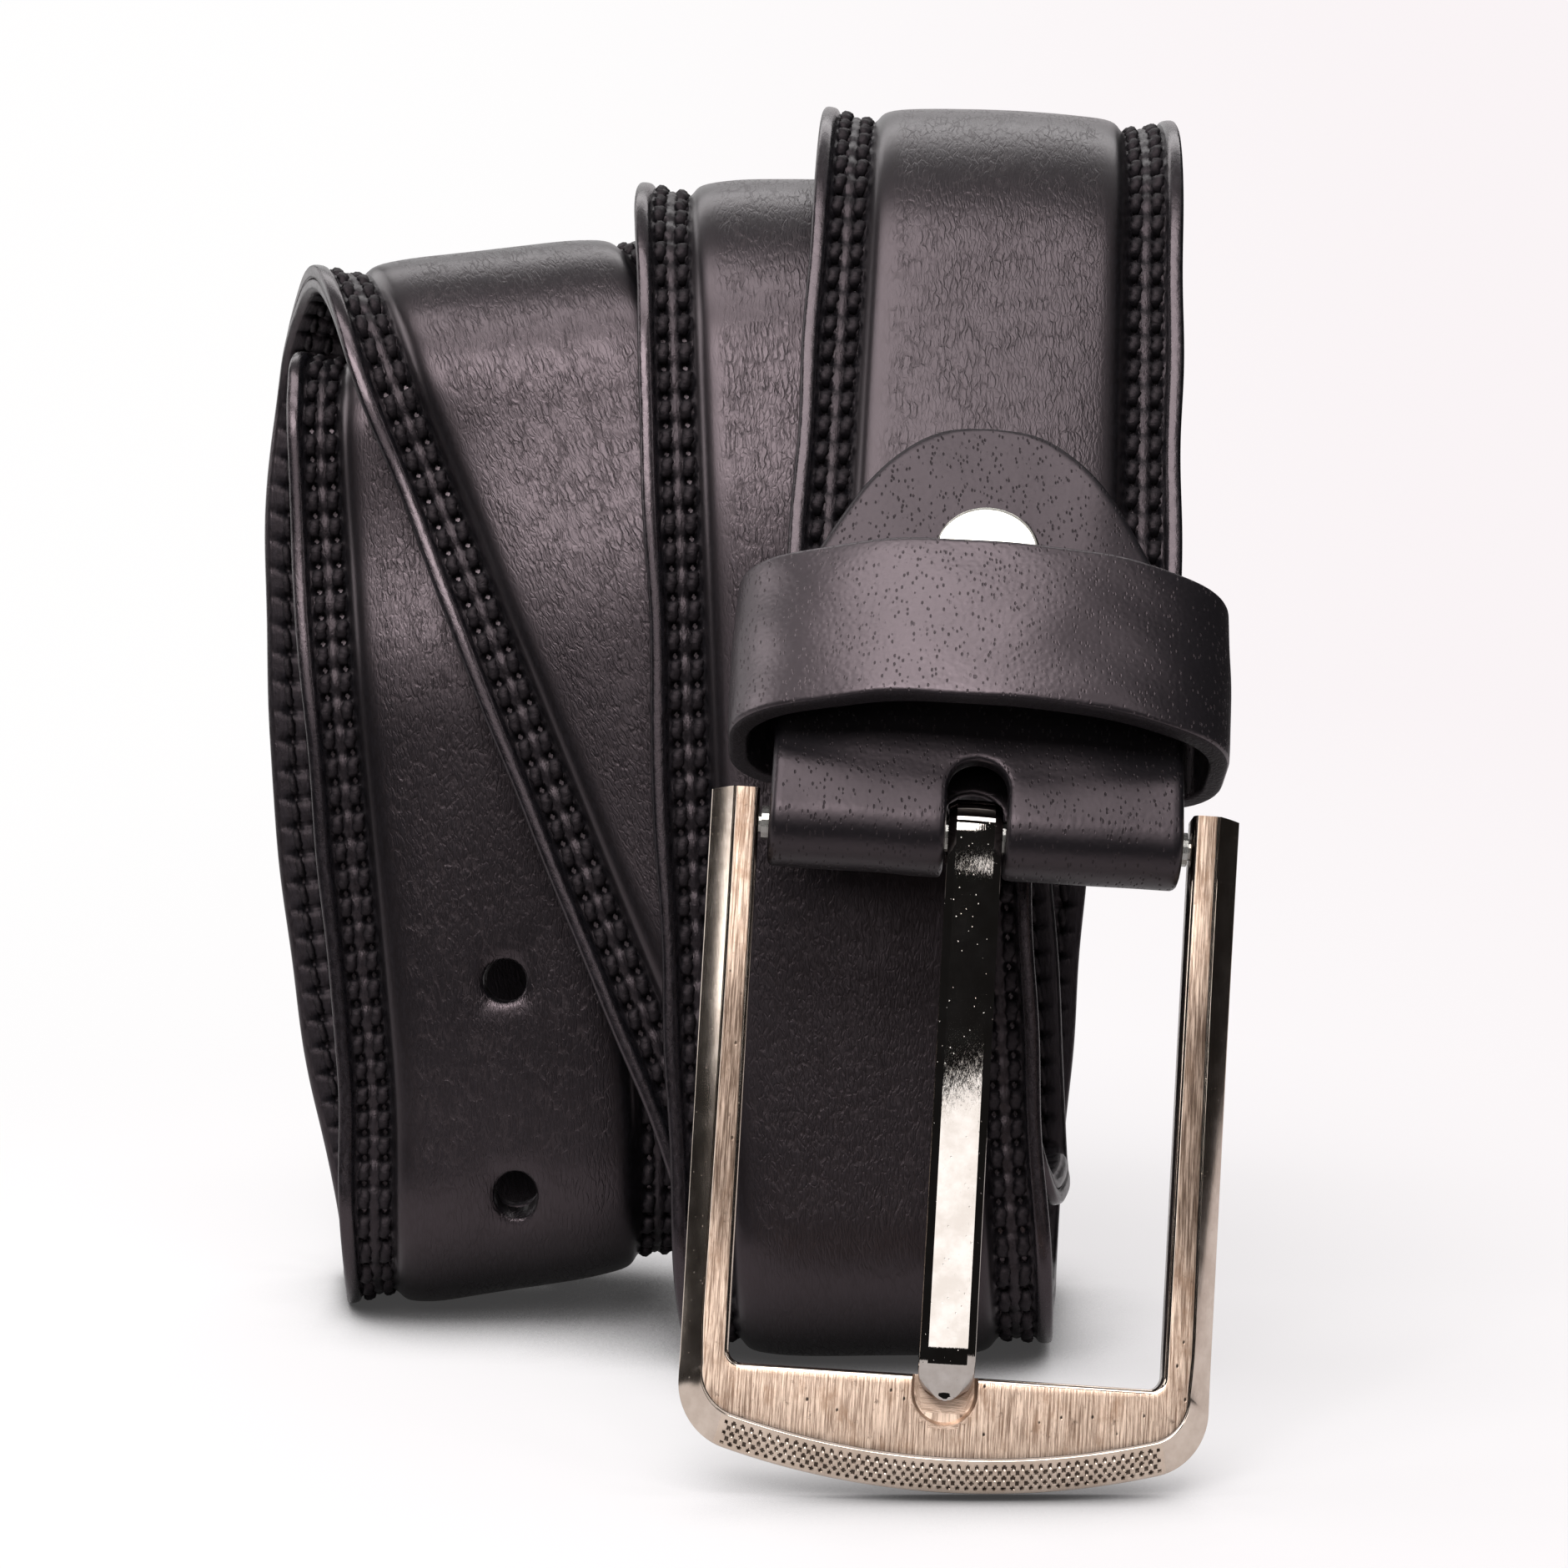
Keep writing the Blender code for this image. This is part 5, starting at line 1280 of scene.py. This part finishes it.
def make_floor():
    """A white floor that takes the shadow, has a painted contact shadow where the belt touches it, and
    stays bright far off.
    """
    wide, near, back = FLOOR_REACH
    corners = [(-wide, near, 0), (wide, near, 0), (wide, back, 0), (-wide, back, 0)]
    look, painted_light_tint = sheet("floor", corners)
    reach = look.node("ShaderNodeVectorMath", {"operation": "LENGTH"})
    look.fill(reach, look.place())
    far = look.between(reach.outputs["Value"], 0.06, 0.21, FLOOR_LIFT, 1.0)
    # Painted shadow: an ambient-occlusion term darkens the floor's colour and its glow near the belt, as
    # a contact shadow.
    open_air = look.node("ShaderNodeAmbientOcclusion", {"samples": 8}, Distance=CONTACT_REACH)
    painted_contact_shadow = look.between(open_air.outputs["AO"], 0.22, 0.88, 0.08, 1.0)
    painted_contact_shadow = look.most(painted_contact_shadow, look.between(reach.outputs["Value"], 0.15, 0.3))
    colour = look.mix(painted_contact_shadow, shade(0.0, 0.0, 0.0), shade(*FLOOR_COLOUR))
    paint = look.node("ShaderNodeBsdfDiffuse", Color=colour)
    glow = look.node("ShaderNodeEmission", Color=painted_light_tint, Strength=painted_contact_shadow)
    seen = look.node("ShaderNodeLightPath").outputs
    shown = look.most(seen["Is Camera Ray"], seen["Is Glossy Ray"])
    pick = look.node("ShaderNodeMixShader", Fac=look.times(far, shown))
    look.put(pick.inputs[1], paint.outputs[0])
    look.put(pick.inputs[2], glow.outputs[0])
    look.put(look.surface, pick.outputs[0])


def make_stage():
    """White floor and backdrop in a dark room, soft lamps and the camera at the photo's place."""
    scene = bpy.context.scene
    make_floor()
    card("backdrop", ((-BACKDROP_HALF, BACKDROP_AT), (BACKDROP_HALF, BACKDROP_AT)), 1.0)
    card("left_wing", ((WING_AT, BACKDROP_AT), (WING_AT, WING_FROM)), WING_GLOW)

    scene.world = bpy.data.worlds.new("room")
    room = Nodes(scene.world)
    seen = room.node("ShaderNodeLightPath").outputs
    shown = room.most(seen["Is Camera Ray"], seen["Is Transmission Ray"])
    back = room.tree.nodes["Background"]
    room.put(back.inputs["Color"], shade(*ROOM_COLOUR))
    room.put(back.inputs["Strength"], room.scaled(shown, 1.0 - ROOM_GLOW, ROOM_GLOW))

    centre = Vector(LAMP_AIM)
    for name, turn, rise, far, size, glow in LAMPS:
        turn, rise = radians(turn), radians(rise)
        way = Vector((sin(turn) * cos(rise), -cos(turn) * cos(rise), sin(rise)))
        panel(name, centre + way * far, size, centre, glow * pi * size[0] * size[1])

    camera = bpy.data.cameras.new("camera")
    camera.sensor_width = FILM
    camera.lens = FOCAL / PICTURE * FILM
    camera.clip_start = 0.01
    eye = placed("camera", camera)
    eye.location = [(place + shift) * MM for place, shift in zip(EYE, SHIFT)]
    eye.rotation_euler = (radians(EYE_PITCH), 0.0, 0.0)
    scene.camera = eye
    scene.view_settings.view_transform = "Standard"


make_stage()
make_strap()
make_stitches()
make_chape()
make_keeper()
make_post()
make_buckle()
make_prong()
dress_frame()
